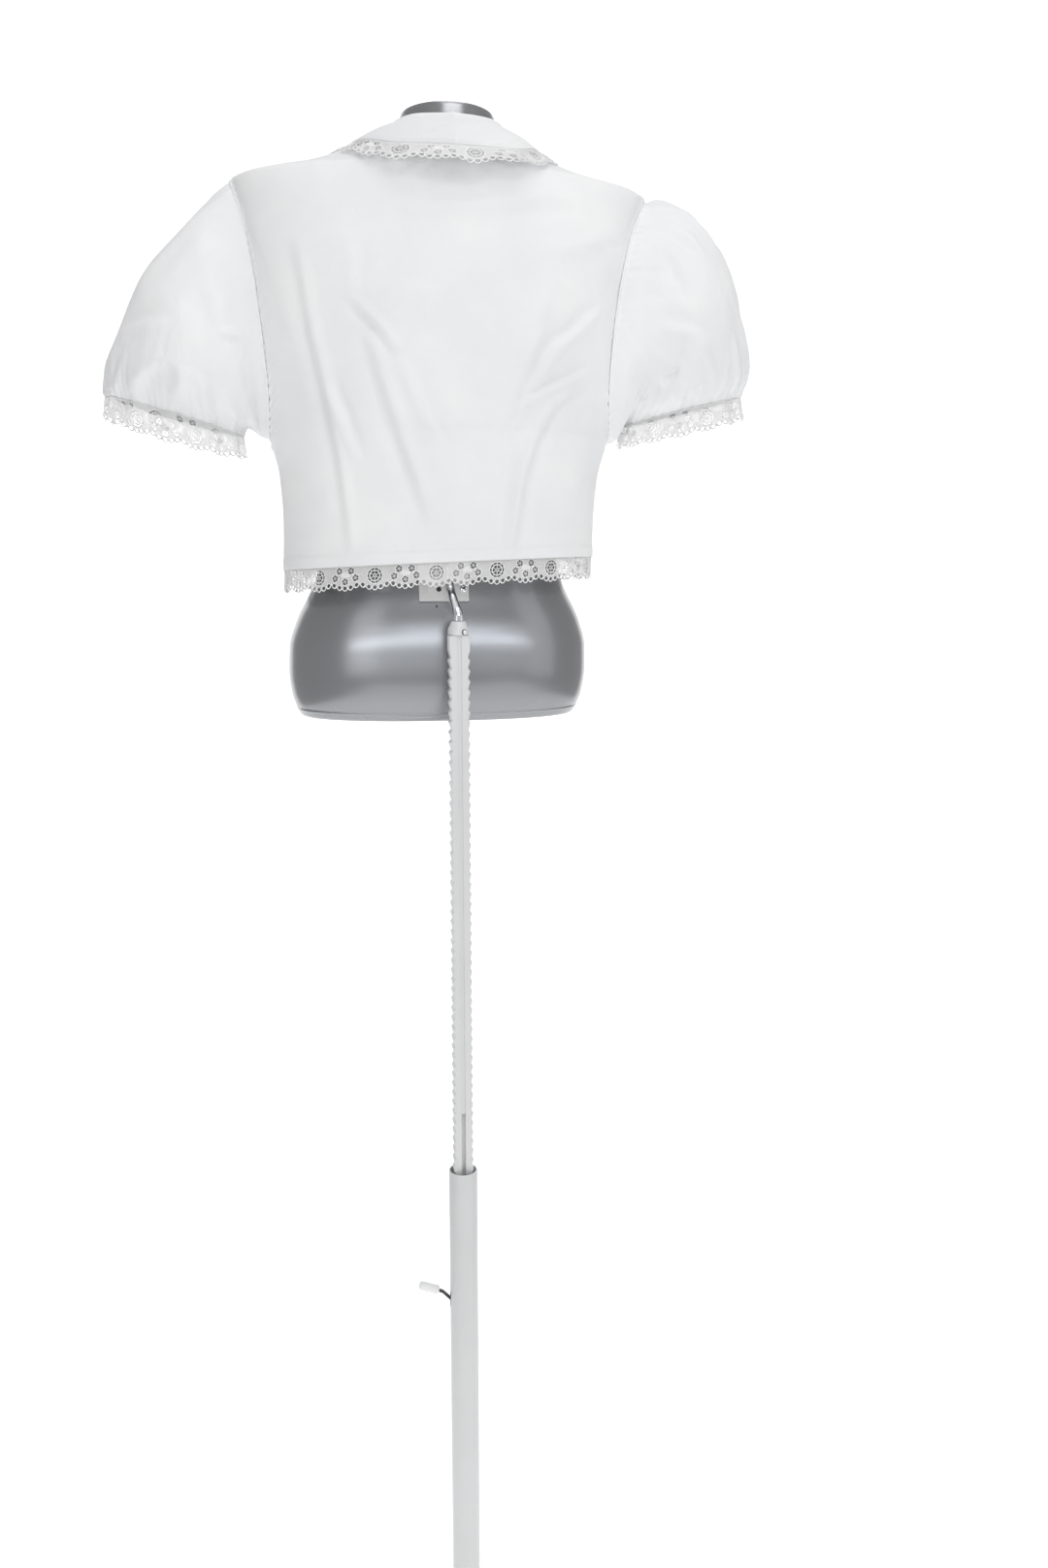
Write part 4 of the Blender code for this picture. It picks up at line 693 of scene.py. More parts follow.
# Rows of (turn in degrees, step): turn 0 is the crown, 90 the back, 180 the underarm, 270 the front.
sleeveCreases = {
    "left": [
        ([(72, 0.26), (84, 0.31), (94, 0.34)], -3.0, 10, 1, 0.2, 0.8),
        ([(104, 0.10), (100, 0.18), (96, 0.27)], 2.0, 4.5, 1, 0.6, 0.7),
        ([(30, 0.70), (50, 0.62), (72, 0.50)], 2.2, 7, 1, 0.8, 0.7),
        ([(60, 0.97), (66, 0.82), (78, 0.66)], 3.2, 7, -1, 0.9, 0.6),
        ([(35, 0.98), (42, 0.86), (46, 0.74)], 3.0, 6, 1, 0.9, 0.6),
        ([(95, 0.98), (96, 0.82), (92, 0.64)], 3.4, 6.5, 1, 0.9, 0.6),
        ([(125, 0.98), (118, 0.80), (104, 0.60)], 3.0, 6, -1, 0.9, 0.6),
        ([(150, 0.96), (140, 0.70), (124, 0.45)], 2.4, 8, 1, 0.8, 0.6),
        ([(20, 0.08), (26, 0.30), (30, 0.52)], 1.8, 9, 1, 0.7, 0.7),
        ([(60, 0.05), (66, 0.20), (62, 0.40)], 1.4, 8, -1, 0.7, 0.7),
        ([(-20, 0.06), (-28, 0.28), (-34, 0.50)], 1.8, 9, 1, 0.7, 0.7),
        ([(-60, 0.96), (-64, 0.80), (-74, 0.62)], 3.0, 7, 1, 0.9, 0.6),
        ([(-95, 0.97), (-90, 0.78), (-84, 0.58)], 3.0, 7, -1, 0.9, 0.6),
        ([(-128, 0.97), (-120, 0.78), (-108, 0.56)], 2.8, 7, 1, 0.9, 0.6),
        ([(-84, 0.26), (-96, 0.34), (-104, 0.44)], -2.2, 9, 1, 0.2, 0.8),
        ([(-30, 0.97), (-36, 0.84), (-44, 0.70)], 2.6, 6, -1, 0.9, 0.6),
    ],
    "right": [
        ([(20, 0.05), (24, 0.18), (30, 0.34)], 3.0, 6, 1, 0.9, 0.6),
        ([(42, 0.04), (44, 0.16), (52, 0.30)], 2.6, 6, -1, 0.9, 0.6),
        ([(4, 0.05), (4, 0.16), (2, 0.30)], 2.8, 6, 1, 0.9, 0.6),
        ([(100, 0.20), (92, 0.44), (80, 0.70)], 2.8, 7, 1, 0.9, 0.6),
        ([(110, 0.55), (104, 0.66), (112, 0.80)], 2.6, 5, -1, 0.8, 0.7),
        ([(76, 0.92), (82, 0.74), (92, 0.60)], 3.0, 6, 1, 0.9, 0.6),
        ([(60, 0.10), (74, 0.20), (80, 0.32)], -2.6, 7, 1, 0.2, 0.8),
        ([(46, 0.97), (50, 0.84), (52, 0.70)], 3.0, 6.5, 1, 0.9, 0.6),
        ([(104, 0.98), (112, 0.84), (124, 0.66)], 3.2, 7, -1, 0.9, 0.6),
        ([(132, 0.97), (134, 0.78), (140, 0.58)], 2.8, 7, 1, 0.9, 0.6),
        ([(24, 0.97), (28, 0.80), (36, 0.62)], 2.6, 7, -1, 0.9, 0.6),
        ([(-18, 0.05), (-22, 0.18), (-30, 0.32)], 2.8, 6, -1, 0.9, 0.6),
        ([(-46, 0.05), (-50, 0.20), (-58, 0.34)], 2.2, 6, 1, 0.8, 0.6),
        ([(-64, 0.97), (-68, 0.80), (-78, 0.62)], 3.0, 7, 1, 0.9, 0.6),
        ([(-98, 0.97), (-94, 0.78), (-88, 0.58)], 3.0, 7, -1, 0.9, 0.6),
        ([(-128, 0.97), (-124, 0.78), (-112, 0.56)], 2.8, 7, 1, 0.9, 0.6),
        ([(-86, 0.24), (-98, 0.34), (-104, 0.46)], -2.2, 9, 1, 0.2, 0.8),
    ],
}


def makeSleeve(side, seed, rows=92, columns=252):
    # The sleeve's shell on its solid: the given creases, fine pleats that grow to the gathered cuff and to
    # the cap, worn crumples, and the raised allowance of the armhole seam.
    steps = np.linspace(0, 1, rows)
    steps = steps + 0.06 * np.sin(2 * np.pi * steps) / (2 * np.pi) * 2
    turn = np.linspace(0, 2 * np.pi, columns, endpoint=False)
    base, normals = sleeveSurface(side, steps, turn)

    def place(turnDegrees, step):
        turnAt = np.interp(np.mod(turnDegrees, 360), np.append(np.degrees(turn), 360), np.arange(columns + 1))
        stepAt = np.interp(step, steps, np.arange(rows))
        column0, row0 = np.floor(turnAt).astype(int), np.clip(np.floor(stepAt).astype(int), 0, rows - 2)
        u, v = (turnAt - column0)[:, None], (stepAt - row0)[:, None]
        before, after = column0 % columns, (column0 + 1) % columns
        return ((base[row0, before] * (1 - u) + base[row0, after] * u) * (1 - v)
                + (base[row0 + 1, before] * (1 - u) + base[row0 + 1, after] * u) * v)

    step, around = steps[:, None], turn[None]
    length = arcs(base, 0)
    toCuff = length[-1:] - length
    relief = creaseField(base, normals, creaseLines(sleeveCreases[side], place))
    loop = np.concatenate([base, base[:, :1]], axis=1)
    run = arcs(loop, 1)[:, :-1]
    wander = 1.3 * softNoise(around * 3.2, step * 3.0, seed + 5) * 3
    pleats = np.abs(np.sin(gather["finePleats"] / 2 * around + wander)) * 2 - 1
    reach = 0.35 + 0.65 * (softNoise(around * 4.1, 0 * step + 2.2, seed + 6) + 1) / 2
    relief = relief + gather["finePleatDepth"] * pleats * np.exp(-toCuff / (gather["finePleatRun"] * reach))
    capPleats = np.abs(np.sin(gather["capPleats"] / 2 * around + wander)) * 2 - 1
    crown = np.clip(np.cos(around), 0, 1)**1.2
    fade = np.exp(-length / gather["capPleatRun"]) * np.clip(length / 0.003, 0, 1)
    relief = relief + gather["capPleatDepth"][side] * capPleats * crown * fade
    worn = crumple(np.cos(around) * 0.16 + 0 * length, np.sin(around) * 0.16 + length, seed)
    relief = relief + gather["crumple"] * worn
    relief = relief * np.clip(length / 0.012, 0.15, 1)
    relief = relief + edgeRelief(length, run, seed + 9) * 1.1
    stitched = np.exp(-((toCuff - gather["cuffStitch"]) / gather["stitchWidth"])**2)
    relief = relief - gather["stitchDip"] * stitched
    runIn = np.clip(0.35 + toCuff / 0.004, 0, 1)
    outer = base + normals * ((cloth["outside"] + relief) * runIn)[..., None]
    inner = outer - normals * cloth["thickness"]
    uv = np.stack([run, length], axis=-1)
    mesh = wallMesh("sleeve", outer, inner, True, uv)
    piece = finishMesh("sleeve_" + side + "_cloth", mesh, "form", cotton)
    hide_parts("sleeve_" + side)
    return piece, outer, normals, base


sleeveLeft, sleeveLeftOuter, sleeveLeftNormals, sleeveLeftBase = makeSleeve("left", 51)
sleeveRight, sleeveRightOuter, sleeveRightNormals, sleeveRightBase = makeSleeve("right", 67)
print("sleeves made")


# The turned collar

collar = table("angle rollX rollY rollZ edgeX edgeY edgeZ laceX laceY laceZ", [
    (0.0, 0.000, 0.0300, 1.6830, 0.000, 0.0110, 1.6500, 0.000, -0.0030, 1.6370),
    (40.0, 0.034, 0.0450, 1.6850, 0.054, 0.0240, 1.6530, 0.064, 0.0120, 1.6420),
    (70.0, 0.051, 0.0720, 1.6860, 0.086, 0.0600, 1.6650, 0.101, 0.0520, 1.6570),
    (95.0, 0.054, 0.0980, 1.6840, 0.098, 0.1050, 1.6690, 0.117, 0.1090, 1.6640),
    (120.0, 0.053, 0.1310, 1.6705, 0.099, 0.1450, 1.6560, 0.114, 0.1540, 1.6470),
    (145.0, 0.036, 0.1570, 1.6440, 0.083, 0.1740, 1.6170, 0.094, 0.1790, 1.6010),
    (174.0, 0.009, 0.1750, 1.6140, 0.030, 0.2020, 1.5660, 0.032, 0.2100, 1.5450),
])
turned = {"end": 174.0, "rollRise": 0.0030, "rollOut": 0.0024, "standInset": 0.0026, "standRise": 0.0014,
          "fallOut": 0.003, "fallRise": 0.004, "stitch": 0.0045}


def collarLines(angle):  # roll, edge and lace-edge points; the far side mirrors the near one
    sign = np.where(angle < 0, -1.0, 1.0)
    found = []
    for line in ("roll", "edge", "lace"):
        x, y, z = (column(collar, line + axis, np.abs(angle)) for axis in "XYZ")
        found.append(np.stack([sign * x + leanPerMetre * (z - leanPivot), y, z], axis=-1))
    return found


def neckline(angle):
    turn, sign = np.abs(angle), np.where(angle < 0, -1.0, 1.0)
    frontAngle, frontZ = frontNeck(np.clip(180 - turn, 0, 90))
    behind = turn <= 90
    z = np.where(behind, backNeck(np.minimum(turn, 90)), frontZ)
    return bodySurface(sign * np.where(behind, turn, frontAngle), z)


def throughRows(rows, count):
    # Smooth surface through given rows of points: Catmull-Rom cubics between them.
    rows = np.concatenate([2 * rows[:1] - rows[1:2], rows, 2 * rows[-1:] - rows[-2:-1]])
    at = np.linspace(0, len(rows) - 3 - 1e-9, count)
    low = np.floor(at).astype(int)
    t = (at - low)[:, None, None]
    a, b, c, d = rows[low], rows[low + 1], rows[low + 2], rows[low + 3]
    return 0.5 * (2 * b + (c - a) * t + (2 * a - 5 * b + 4 * c - d) * t**2 + (3 * b - a - 3 * c + d) * t**3)


def makeCollar(columns=241, count=54):
    # The stand rises from the neckline to the roll line, and the fall comes down from it to the outer edge
    # on a curve that bulges out. A stitched line runs inside the edge.
    angle = np.linspace(-turned["end"], turned["end"], columns)
    roll, edge, _ = collarLines(angle)
    neck = neckline(angle)
    up = np.array([0, 0, 1.0])
    out = unit((edge - roll) * (1, 1, 0))
    planOut = unit((neck - np.array([0, cut["neckCentreY"], 0])) * (1, 1, 0))
    start = neck - planOut * turned["standInset"] + up * turned["standRise"]
    top = roll - up * turned["rollRise"]
    over = roll + out * 2 * turned["rollOut"] - up * turned["rollRise"]
    bulge = (over + edge) / 2 + out * turned["fallOut"] + up * turned["fallRise"]
    rows = [start, (start + top) / 2, top, roll + out * turned["rollOut"], over]
    for share in (0.35, 0.7, 1.0):
        rows.append((1 - share)**2 * over + 2 * share * (1 - share) * bulge + share**2 * edge)
    grid = throughRows(np.stack(rows), count)
    normals = gridNormals(grid)
    length, run = arcs(grid, 0), arcs(grid, 1)
    toEdge = length[-1:] - length
    relief = 0.0010 * crumple(run, length, 83) + 0.0008 * softNoise(run / 0.035, length / 0.05, 84)
    relief = relief - 0.0005 * np.exp(-((toEdge - turned["stitch"]) / 0.001)**2)
    relief = relief * np.clip(toEdge / 0.002, 0.2, 1)
    outer = grid + normals * (0.0006 + relief)[..., None]
    inner = grid + normals * (relief - 0.0006)[..., None]
    uv = np.stack([run, length], axis=-1)
    piece = finishMesh("collar_cloth", wallMesh("collar", outer, inner, uv=uv), "form", cotton)
    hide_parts("collar")
    return piece, outer, normals


collarPiece, collarOuter, collarNormals = makeCollar()
print("collar made")


# The lace

laceRepeat = 59.0  # mm: two scallops, one with a rosette and one with a fan of small flowers
laceScallop = laceRepeat / 2
laceWidth = 24.5
laceColumns = 70
laceCell = laceRepeat / laceColumns
laceThreadHalf = 0.25
scallop = {"least": 17.4, "large": 4.2, "small": 2.4, "smallCount": 5}
rosette = {"centre": (14.75, 10.2), "rim": 7.4, "inner": 4.9, "heart": 1.3, "dots": 10, "rays": 6}
rosetteRings = (("rim", 33, 0.52), ("inner", 25, 0.62), ("heart", 13, 0.45))  # points and half-width of each
fan = {"flowers": [(33.6, 11.6), (38.2, 5.0), (50.3, 5.0), (54.9, 11.6), (44.25, 15.0)], "radius": 3.5,
       "heart": 0.8, "petals": 5, "petalTurn": 20}
leaf = {"place": (44.25, 10.8), "half": 4.6, "bars": 12, "depth": 5.0, "span": 5.6, "narrow": 0.86,
        "shift": 0.7}
edgeCord = {"inset": 0.45, "half": 0.60, "topLine": 0.7, "topHalf": 0.45}
loops = {"step": 5.9, "count": 10, "radius": 2.2, "inset": 2.9}  # one loop in each small lobe of the edge


def laceEdge(s):  # the scalloped edge: a large lobe for each half repeat with five small ones on it
    lobe = np.abs(np.sin(np.pi * s / laceScallop))
    small = np.abs(np.sin(scallop["smallCount"] * np.pi * s / laceScallop))
    return scallop["least"] + scallop["large"] * lobe + scallop["small"] * small


def ringLine(centre, radius, count):
    turn = np.radians(np.linspace(0, 360, count))
    return np.stack([centre[0] + radius * np.sin(turn), centre[1] + radius * np.cos(turn)], axis=1)


def spokes(centre, inner, outer, count, start=0.0):
    turn = np.radians(np.linspace(start, 360, count, endpoint=False))[:, None, None]
    reach = np.array([inner, outer])[None, :, None]
    return np.array(centre) + reach * np.concatenate([np.sin(turn), np.cos(turn)], axis=2)


def loopCentres():
    s = loops["step"] * (np.arange(loops["count"]) + 0.5)
    return np.stack([s, laceEdge(s) - loops["inset"]], axis=1)


def laceStrands():
    # One repeat's cords and bars as rows of (points, half-width in mm): rings and spokes of the rosette and
    # the small flowers, the hatched leaf, a loop in every small lobe, and the cords of both edges.
    centre = rosette["centre"]
    strands = [(ringLine(centre, rosette[name], count), half) for name, count, half in rosetteRings]
    bars = [(spokes(centre, rosette["inner"], rosette["rim"], rosette["dots"]), 0.36),
            (spokes(centre, rosette["heart"], rosette["inner"], rosette["rays"]), 0.40)]
    for middle in fan["flowers"]:
        strands.append((ringLine(middle, fan["radius"], 17), 0.50))
        strands.append((ringLine(middle, fan["heart"], 9), 0.35))
        bars.append((spokes(middle, fan["heart"], fan["radius"], fan["petals"], fan["petalTurn"]), 0.30))
    strands += [(ringLine(middle, loops["radius"], 13), 0.36) for middle in loopCentres()]
    across = np.linspace(-leaf["half"], leaf["half"], leaf["bars"])
    bend = leaf["depth"] * (1 - (across / leaf["span"])**2)
    x, top = leaf["place"]
    upper = np.stack([x + across, top + 0 * bend], axis=1)
    lower = np.stack([x + across * leaf["narrow"] + leaf["shift"], top - bend], axis=1)
    bars.append((np.stack([upper, lower], axis=1), 0.34))
    s = np.linspace(0, laceRepeat, 121)
    strands.append((np.stack([s, laceEdge(s) - edgeCord["inset"]], axis=1), edgeCord["half"]))
    strands.append((np.stack([s, 0 * s + edgeCord["topLine"]], axis=1), edgeCord["topHalf"]))
    return strands, bars


def netCells():
    # The ground net of one repeat: a diamond mesh of thin threads, left out inside the flowers and the edge's
    # loops, and cut off at the edge. Every other cell has the other diagonal.
    rows = int(laceWidth / laceCell) + 1
    i, j = (index.ravel() for index in np.meshgrid(np.arange(laceColumns), np.arange(rows), indexing="ij"))
    even = (i + j) % 2 == 0
    start = np.stack([np.where(even, i, i + 1), j], axis=1) * laceCell
    end = np.stack([np.where(even, i + 1, i), j + 1], axis=1) * laceCell
    middle = (start + end) / 2
    keep = (end[:, 1] < laceEdge(middle[:, 0]) - 0.2)
    keep &= np.hypot(*(middle - rosette["centre"]).T) > rosette["rim"]
    for centre in fan["flowers"]:
        keep &= np.hypot(*(middle - centre).T) > fan["radius"]
    for centre in loopCentres():
        keep &= np.hypot(*(middle - centre).T) > loops["radius"]
    return start[keep], end[keep], np.where(even[keep], 0.02, -0.02)


def makeLace(name, nodes, place, repeats, body="form"):
    # place(s mm, w mm, lift m) puts the lace's own plane into space. The threads of every repeat are
    # swept as arrays grouped by their count of points; the net is single flat strips.
    strands, bars = laceStrands()
    shifts = np.arange(repeats)[:, None, None] * (laceRepeat, 0.0)
    parts = []
    groups = [(np.array([points for points, _ in strands if len(points) == size]), size,
               np.array([half for points, half in strands if len(points) == size]))
              for size in sorted({len(points) for points, _ in strands})]
    groups += [(points, 2, np.full(len(points), half)) for points, half in bars]
    for points, size, halves in groups:
        flat = (points[None] + shifts[:, None]).reshape(-1, size, 2)
        s, w = flat[..., 0], flat[..., 1]
        normal = unit(place(s, w, 0.001) - place(s, w, -0.001))
        halfWidth = np.tile(halves, repeats)[:, None, None, None] / 1000
        parts.append(tubes(place(s, w, 0.0), normal, halfWidth, 0.62, 4))
    low, high, side = netCells()
    low, high = ((points[None] + shifts).reshape(-1, 2) for points in (low, high))
    side = np.tile(side, repeats) / 1000
    across = unit(high - low)[:, ::-1] * (-laceThreadHalf, laceThreadHalf)
    corners = np.stack([low - across, high - across, high + across, low + across], axis=1)
    found = place(corners[..., 0], corners[..., 1], side[:, None]).reshape(-1, 3)
    parts.append((found, np.arange(len(found)).reshape(-1, 4)))
    piece = finishMesh(name, meshFrom(name, *joined(parts)), body, laceThread)
    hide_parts(*nodes)
    return piece


def alongPath(path, total):  # reads a dense path at shares of its length; s runs in mm over the whole
    steps = np.linalg.norm(np.diff(path, axis=0), axis=1)
    run = np.concatenate([[0], np.cumsum(steps)]) / steps.sum() * total
    return lambda s: readAlong(s, run, path)


hung = {"overlap": 0.0012, "stretch": 1.045, "ripple": 0.0009, "centreY": 0.118, "off": 0.0005}
hemAngles = np.linspace(-179.75, 179.75, 1441)
hemPath = bodySurface(hemAngles, hemHeight(hemAngles))
hemRun = pathRun(hemPath)
hemRepeats = round(hemRun[-1] * 1000 / laceRepeat)


def hemLacePlace(s, w, lift):
    angle = np.interp(s / (hemRepeats * laceRepeat), hemRun / hemRun[-1], hemAngles)
    z = hemHeight(angle) + hung["overlap"] - hung["stretch"] * w / 1000
    ripple = hung["ripple"] * softNoise(s / 31, w / 60, 17) * w / laceWidth
    normal = unit(bodySurface(angle, z) - np.stack([0 * z, 0 * z + hung["centreY"], z], axis=-1))
    return bodySurface(angle, z) + normal * (hung["off"] + ripple + lift)[..., None]


hemLace = makeLace("hem_lace_threads", ["hem_lace"], hemLacePlace, hemRepeats)


def cuffLacePlace(edge, repeats, seed):
    # Hangs from the gathered cuff edge, spreads a little, and carries the gathers down as soft waves.
    total = repeats * laceRepeat
    read = alongPath(np.concatenate([edge, edge[:1]]), total)
    centre = edge.mean(axis=0)

    def place(s, w, lift):
        base = read(s)
        out = unit((base - centre) * (1, 1, 0))
        drop = 0.0006 + w / 1000
        turn = 2 * np.pi * s / total
        wave = 0.0016 * np.sin(9 * turn + 1.5 * softNoise(turn * 2, 0 * turn, seed)) * (w / laceWidth)
        away = 0.12 * drop + wave + 0.0005 + lift
        return base + out * away[..., None] - np.array([0, 0, 1.0]) * drop[..., None]
    return place


cuffRepeats = 6
for side, edge, seed in (("left", sleeveLeftBase[-1], 71), ("right", sleeveRightBase[-1], 79)):
    place = cuffLacePlace(edge, cuffRepeats, seed)
    makeLace("cuff_lace_threads_" + side, ["cuff_lace_" + side], place, cuffRepeats)

collarAngles = np.linspace(-turned["end"], turned["end"], 961)
_, collarEdge, collarTip = collarLines(collarAngles)
collarRun = pathRun(collarEdge)
collarShares = collarRun / collarRun[-1]
collarRepeats = 10


def collarLacePlace(s, w, lift):
    share = s / (collarRepeats * laceRepeat)
    edge = readAlong(share, collarShares, collarEdge)
    down = readAlong(share, collarShares, collarTip) - edge
    along = readAlong(share, collarShares, np.gradient(collarEdge, axis=0))
    normal = unit(np.cross(along, down))
    reach = 0.03 + 0.97 * w / laceWidth
    ripple = 0.0030 * softNoise(s / 19, w / 60, 29) * reach
    sag = np.array([0, 0, -0.0055]) * (reach**2)[..., None]
    return edge + down * (1.06 * reach)[..., None] + sag + normal * (ripple + lift)[..., None]


collarLace = makeLace("collar_lace_threads", ["collar_lace"], collarLacePlace, collarRepeats)
print("laces made")


# Sewing: the stitches that show, and the raised armhole seams

def stitches(name, rows, length=0.0022, gap=0.0008, half=0.00022):
    # Each row is (path, normals). Dashes lie along it with their ends in the cloth: three points a dash.
    parts = []
    for path, normals in rows:
        total = np.linalg.norm(np.diff(path, axis=0), axis=1).sum()
        count = int(total / (length + gap))
        read = alongPath(path, total)
        first = np.arange(count) * (length + gap)
        at = first[:, None] + np.array([0, 0.5, 1]) * length
        normal = readAlong(at, pathRun(path), normals)
        points = read(at) + normal * (np.array([-0.0001, 0.00025, -0.0001]))[None, :, None]
        parts.append(tubes(points, normal, half, 0.8, 4))
    return finishMesh(name, meshFrom(name, *joined(parts)), "form", stitchThread)


def rowAt(outer, normals, distance):
    # The line on a finished grid that stays this far, in metres, from its last row.
    lengths = arcs(outer, 0)
    rows = []
    for place in range(outer.shape[1]):
        run = (lengths[-1, place] - lengths[:, place])[::-1]
        both = np.concatenate([outer[::-1, place], normals[::-1, place]], axis=1)
        rows.append(readAlong(distance, run, both))
    rows = np.array(rows)
    return rows[:, :3], unit(rows[:, 3:])


def armholeSeam(side):
    # The folded seam allowance: a soft flattened roll over the join, drawn in by every stitch.
    sign = -1 if side == "left" else 1
    turn = np.linspace(0, 2 * np.pi, 421)
    cutBack = cut["armholeLeft"] if side == "left" else cut["armholeRight"]
    loop, normal = armholeLoop(turn, sign, cutBack, cut["armholeFront"])
    run = pathRun(loop)
    pull = np.abs(np.sin(np.pi * run / cloth["puckerPitch"])) * 0.5 + 0.5 * softNoise(run / 0.02, 0 * run, 5)
    path = loop + normal * (cloth["outside"] + 0.0009 + 0.0004 * pull)[:, None]
    halfWidth = (0.0018 + 0.0004 * pull)[None, :, None, None]
    return tubes(path[None], normal[None], halfWidth, 0.62, 8)


rolls = meshFrom("armholeSeams", *joined([armholeSeam(side) for side in ("left", "right")]))
seamRoll = finishMesh("armhole_seam_rolls", rolls, "form", cotton)

sewn = []
for outer, normals in ((backOuter, backNormals), (frontRightOuter, frontRightNormals),
                       (frontLeftOuter, frontLeftNormals)):
    sewn.append(rowAt(outer[::-1], normals[::-1], cloth["hemBand"] - 0.0012))
for outer, normals in ((sleeveLeftOuter, sleeveLeftNormals), (sleeveRightOuter, sleeveRightNormals)):
    path, normal = rowAt(outer, normals, gather["cuffStitch"])
    sewn.append((np.concatenate([path, path[:1]]), np.concatenate([normal, normal[:1]])))
sewn.append(rowAt(collarOuter, collarNormals, turned["stitch"]))


# Placket and buttons

band = {"halfWidth": 0.0125, "top": 1.590, "lift": 0.0021, "thickness": 0.0015, "stitchInset": 0.0022,
        "buttonTop": 1.576, "buttonLow": 1.300, "buttonCount": 5, "buttonLift": 0.0042}


def placketPoint(offset, z):
    reach = np.abs(offset) / column(body, "halfWidth", z)
    angle = 180 - np.sign(offset) * np.degrees(np.arcsin(reach**(column(body, "power", z) / 2)))
    return bodySurface(angle, z), outward(bodySurface, angle, z)


def makePlacket():
    offset = np.linspace(-band["halfWidth"], band["halfWidth"], 25)[None]
    z = np.linspace(hemHeight(np.array([180.0]))[0] + 0.0003, band["top"], 210)[:, None] + 0 * offset
    base, normals = placketPoint(offset + 0 * z, z)
    relief = 0.0004 * crumple(offset + 0 * z, z, 91)
    for side in (-1, 1):
        inset = side * (band["halfWidth"] - band["stitchInset"])
        relief = relief - 0.00022 * np.exp(-((offset - inset) / 0.0008)**2)
    outer = base + normals * (band["lift"] + band["thickness"] + relief)[..., None]
    uv = np.stack([offset + 0 * z, z - z[0, 0]], axis=-1)
    mesh = wallMesh("placket", outer, base + normals * band["lift"], uv=uv)
    piece = finishMesh("placket_cloth", mesh, "form", cotton)
    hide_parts("placket")
    for place in (3, 21):
        sewn.append((outer[:, place], normals[:, place]))
    return piece


placketPiece = makePlacket()
sewing = stitches("sewing_stitches", sewn)


def ringBody(name, rings, body, material, nodes=(), sharp=38):
    # A closed body from a stack of rings; the first and last close to their middles.
    ends = [np.broadcast_to(ring.mean(axis=0), ring.shape)[None] for ring in (rings[0], rings[-1])]
    grid = np.concatenate([ends[0], rings, ends[1]])
    quads = gridFaces(grid.shape[0], grid.shape[1], True)
    points = grid.reshape(-1, 3)
    corner = points[quads] - points.mean(axis=0)
    volume = np.einsum("ij,ij->i", corner[:, 0], np.cross(corner[:, 1], corner[:, 2])).sum()
    if volume < 0:
        quads = quads[:, ::-1]
    mesh = meshFrom(name, points, quads)
    piece = finishMesh(name, mesh, body, material)
    mesh.set_sharp_from_angle(angle=math.radians(sharp))
    if nodes:
        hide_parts(*nodes)
    return piece


def turnedRings(profile, centre, axis, segments):
    # Rings of a turned shape: profile rows are (radius, height along the axis).
    axis = np.asarray(axis, float) / np.linalg.norm(axis)
    side = unit(np.cross(axis, (0.0, 0.0, 1.0) if abs(axis[2]) < 0.9 else (1.0, 0.0, 0.0)))
    other = np.cross(axis, side)
    turn = np.linspace(0, 2 * np.pi, segments, endpoint=False)
    around = np.outer(np.cos(turn), side) + np.outer(np.sin(turn), other)
    profile = np.asarray(profile, float)
    return np.asarray(centre) + around[None] * profile[:, :1, None] + axis * profile[:, 1:, None]


def turnedBody(name, profile, centre, axis, segments, body, material, nodes=(), sharp=38):
    rings = turnedRings(profile, centre, axis, segments)
    return ringBody(name, rings, body, material, nodes, sharp)


holeAcross, holeUp, threadUp = 0.0009, 0.0012, 0.0011


def makeButtons():
    # Dished, rimmed discs with four holes and two threads through them.
    # The holes are not cut: each is a short near-black ring of painted shade.
    profile = [(0.0046, 0.0), (0.0055, 0.0006), (0.0055, 0.0014), (0.0051, 0.0021), (0.0045, 0.0022),
               (0.0039, 0.0017), (0.0030, 0.0014)]
    threads, holes = [], []
    heights = np.linspace(band["buttonLow"], band["buttonTop"], band["buttonCount"])
    for number, z in enumerate(heights):
        base, normal = placketPoint(np.array([0.0]), np.array([z]))
        centre, axis = base[0] + normal[0] * band["buttonLift"], normal[0]
        name = "button_" + str(number + 1)
        turnedBody(name + "_pearl", profile, centre, axis, 40, "form", pearl, [name])
        across = unit(np.cross(axis, (0.0, 0.0, 1.0)))
        up = np.cross(across, axis)
        for side in (-1, 1):
            ends = np.array([-threadUp, 0, threadUp])[:, None] * up + across * side * holeAcross
            path = centre + ends + axis * np.array([0.0013, 0.0018, 0.0013])[:, None]
            threads.append(tubes(path[None], np.broadcast_to(axis, (1, 3, 3)), 0.0003, 0.9, 6))
            for end in (-1, 1):
                # Each hole is a short open ring set into the button: painted shade where the hole would be.
                spot = centre + across * side * holeAcross + up * end * holeUp
                rings = turnedRings([(0.0005, 0.0010), (0.0005, 0.00142)], spot, axis, 10)
                holes.append((rings.reshape(-1, 3), gridFaces(2, 10, True)))
    mesh = meshFrom("buttonThreads", *joined(threads))
    finishMesh("button_threads", mesh, "form", stitchThread)
    # The hole rings take the black steel finish as painted shade.
    mesh = meshFrom("buttonHoles", *joined(holes))
    finishMesh("button_hole_shades", mesh, "form", blackSteel)


makeButtons()
print("sewing, placket and buttons made")


# The dress form

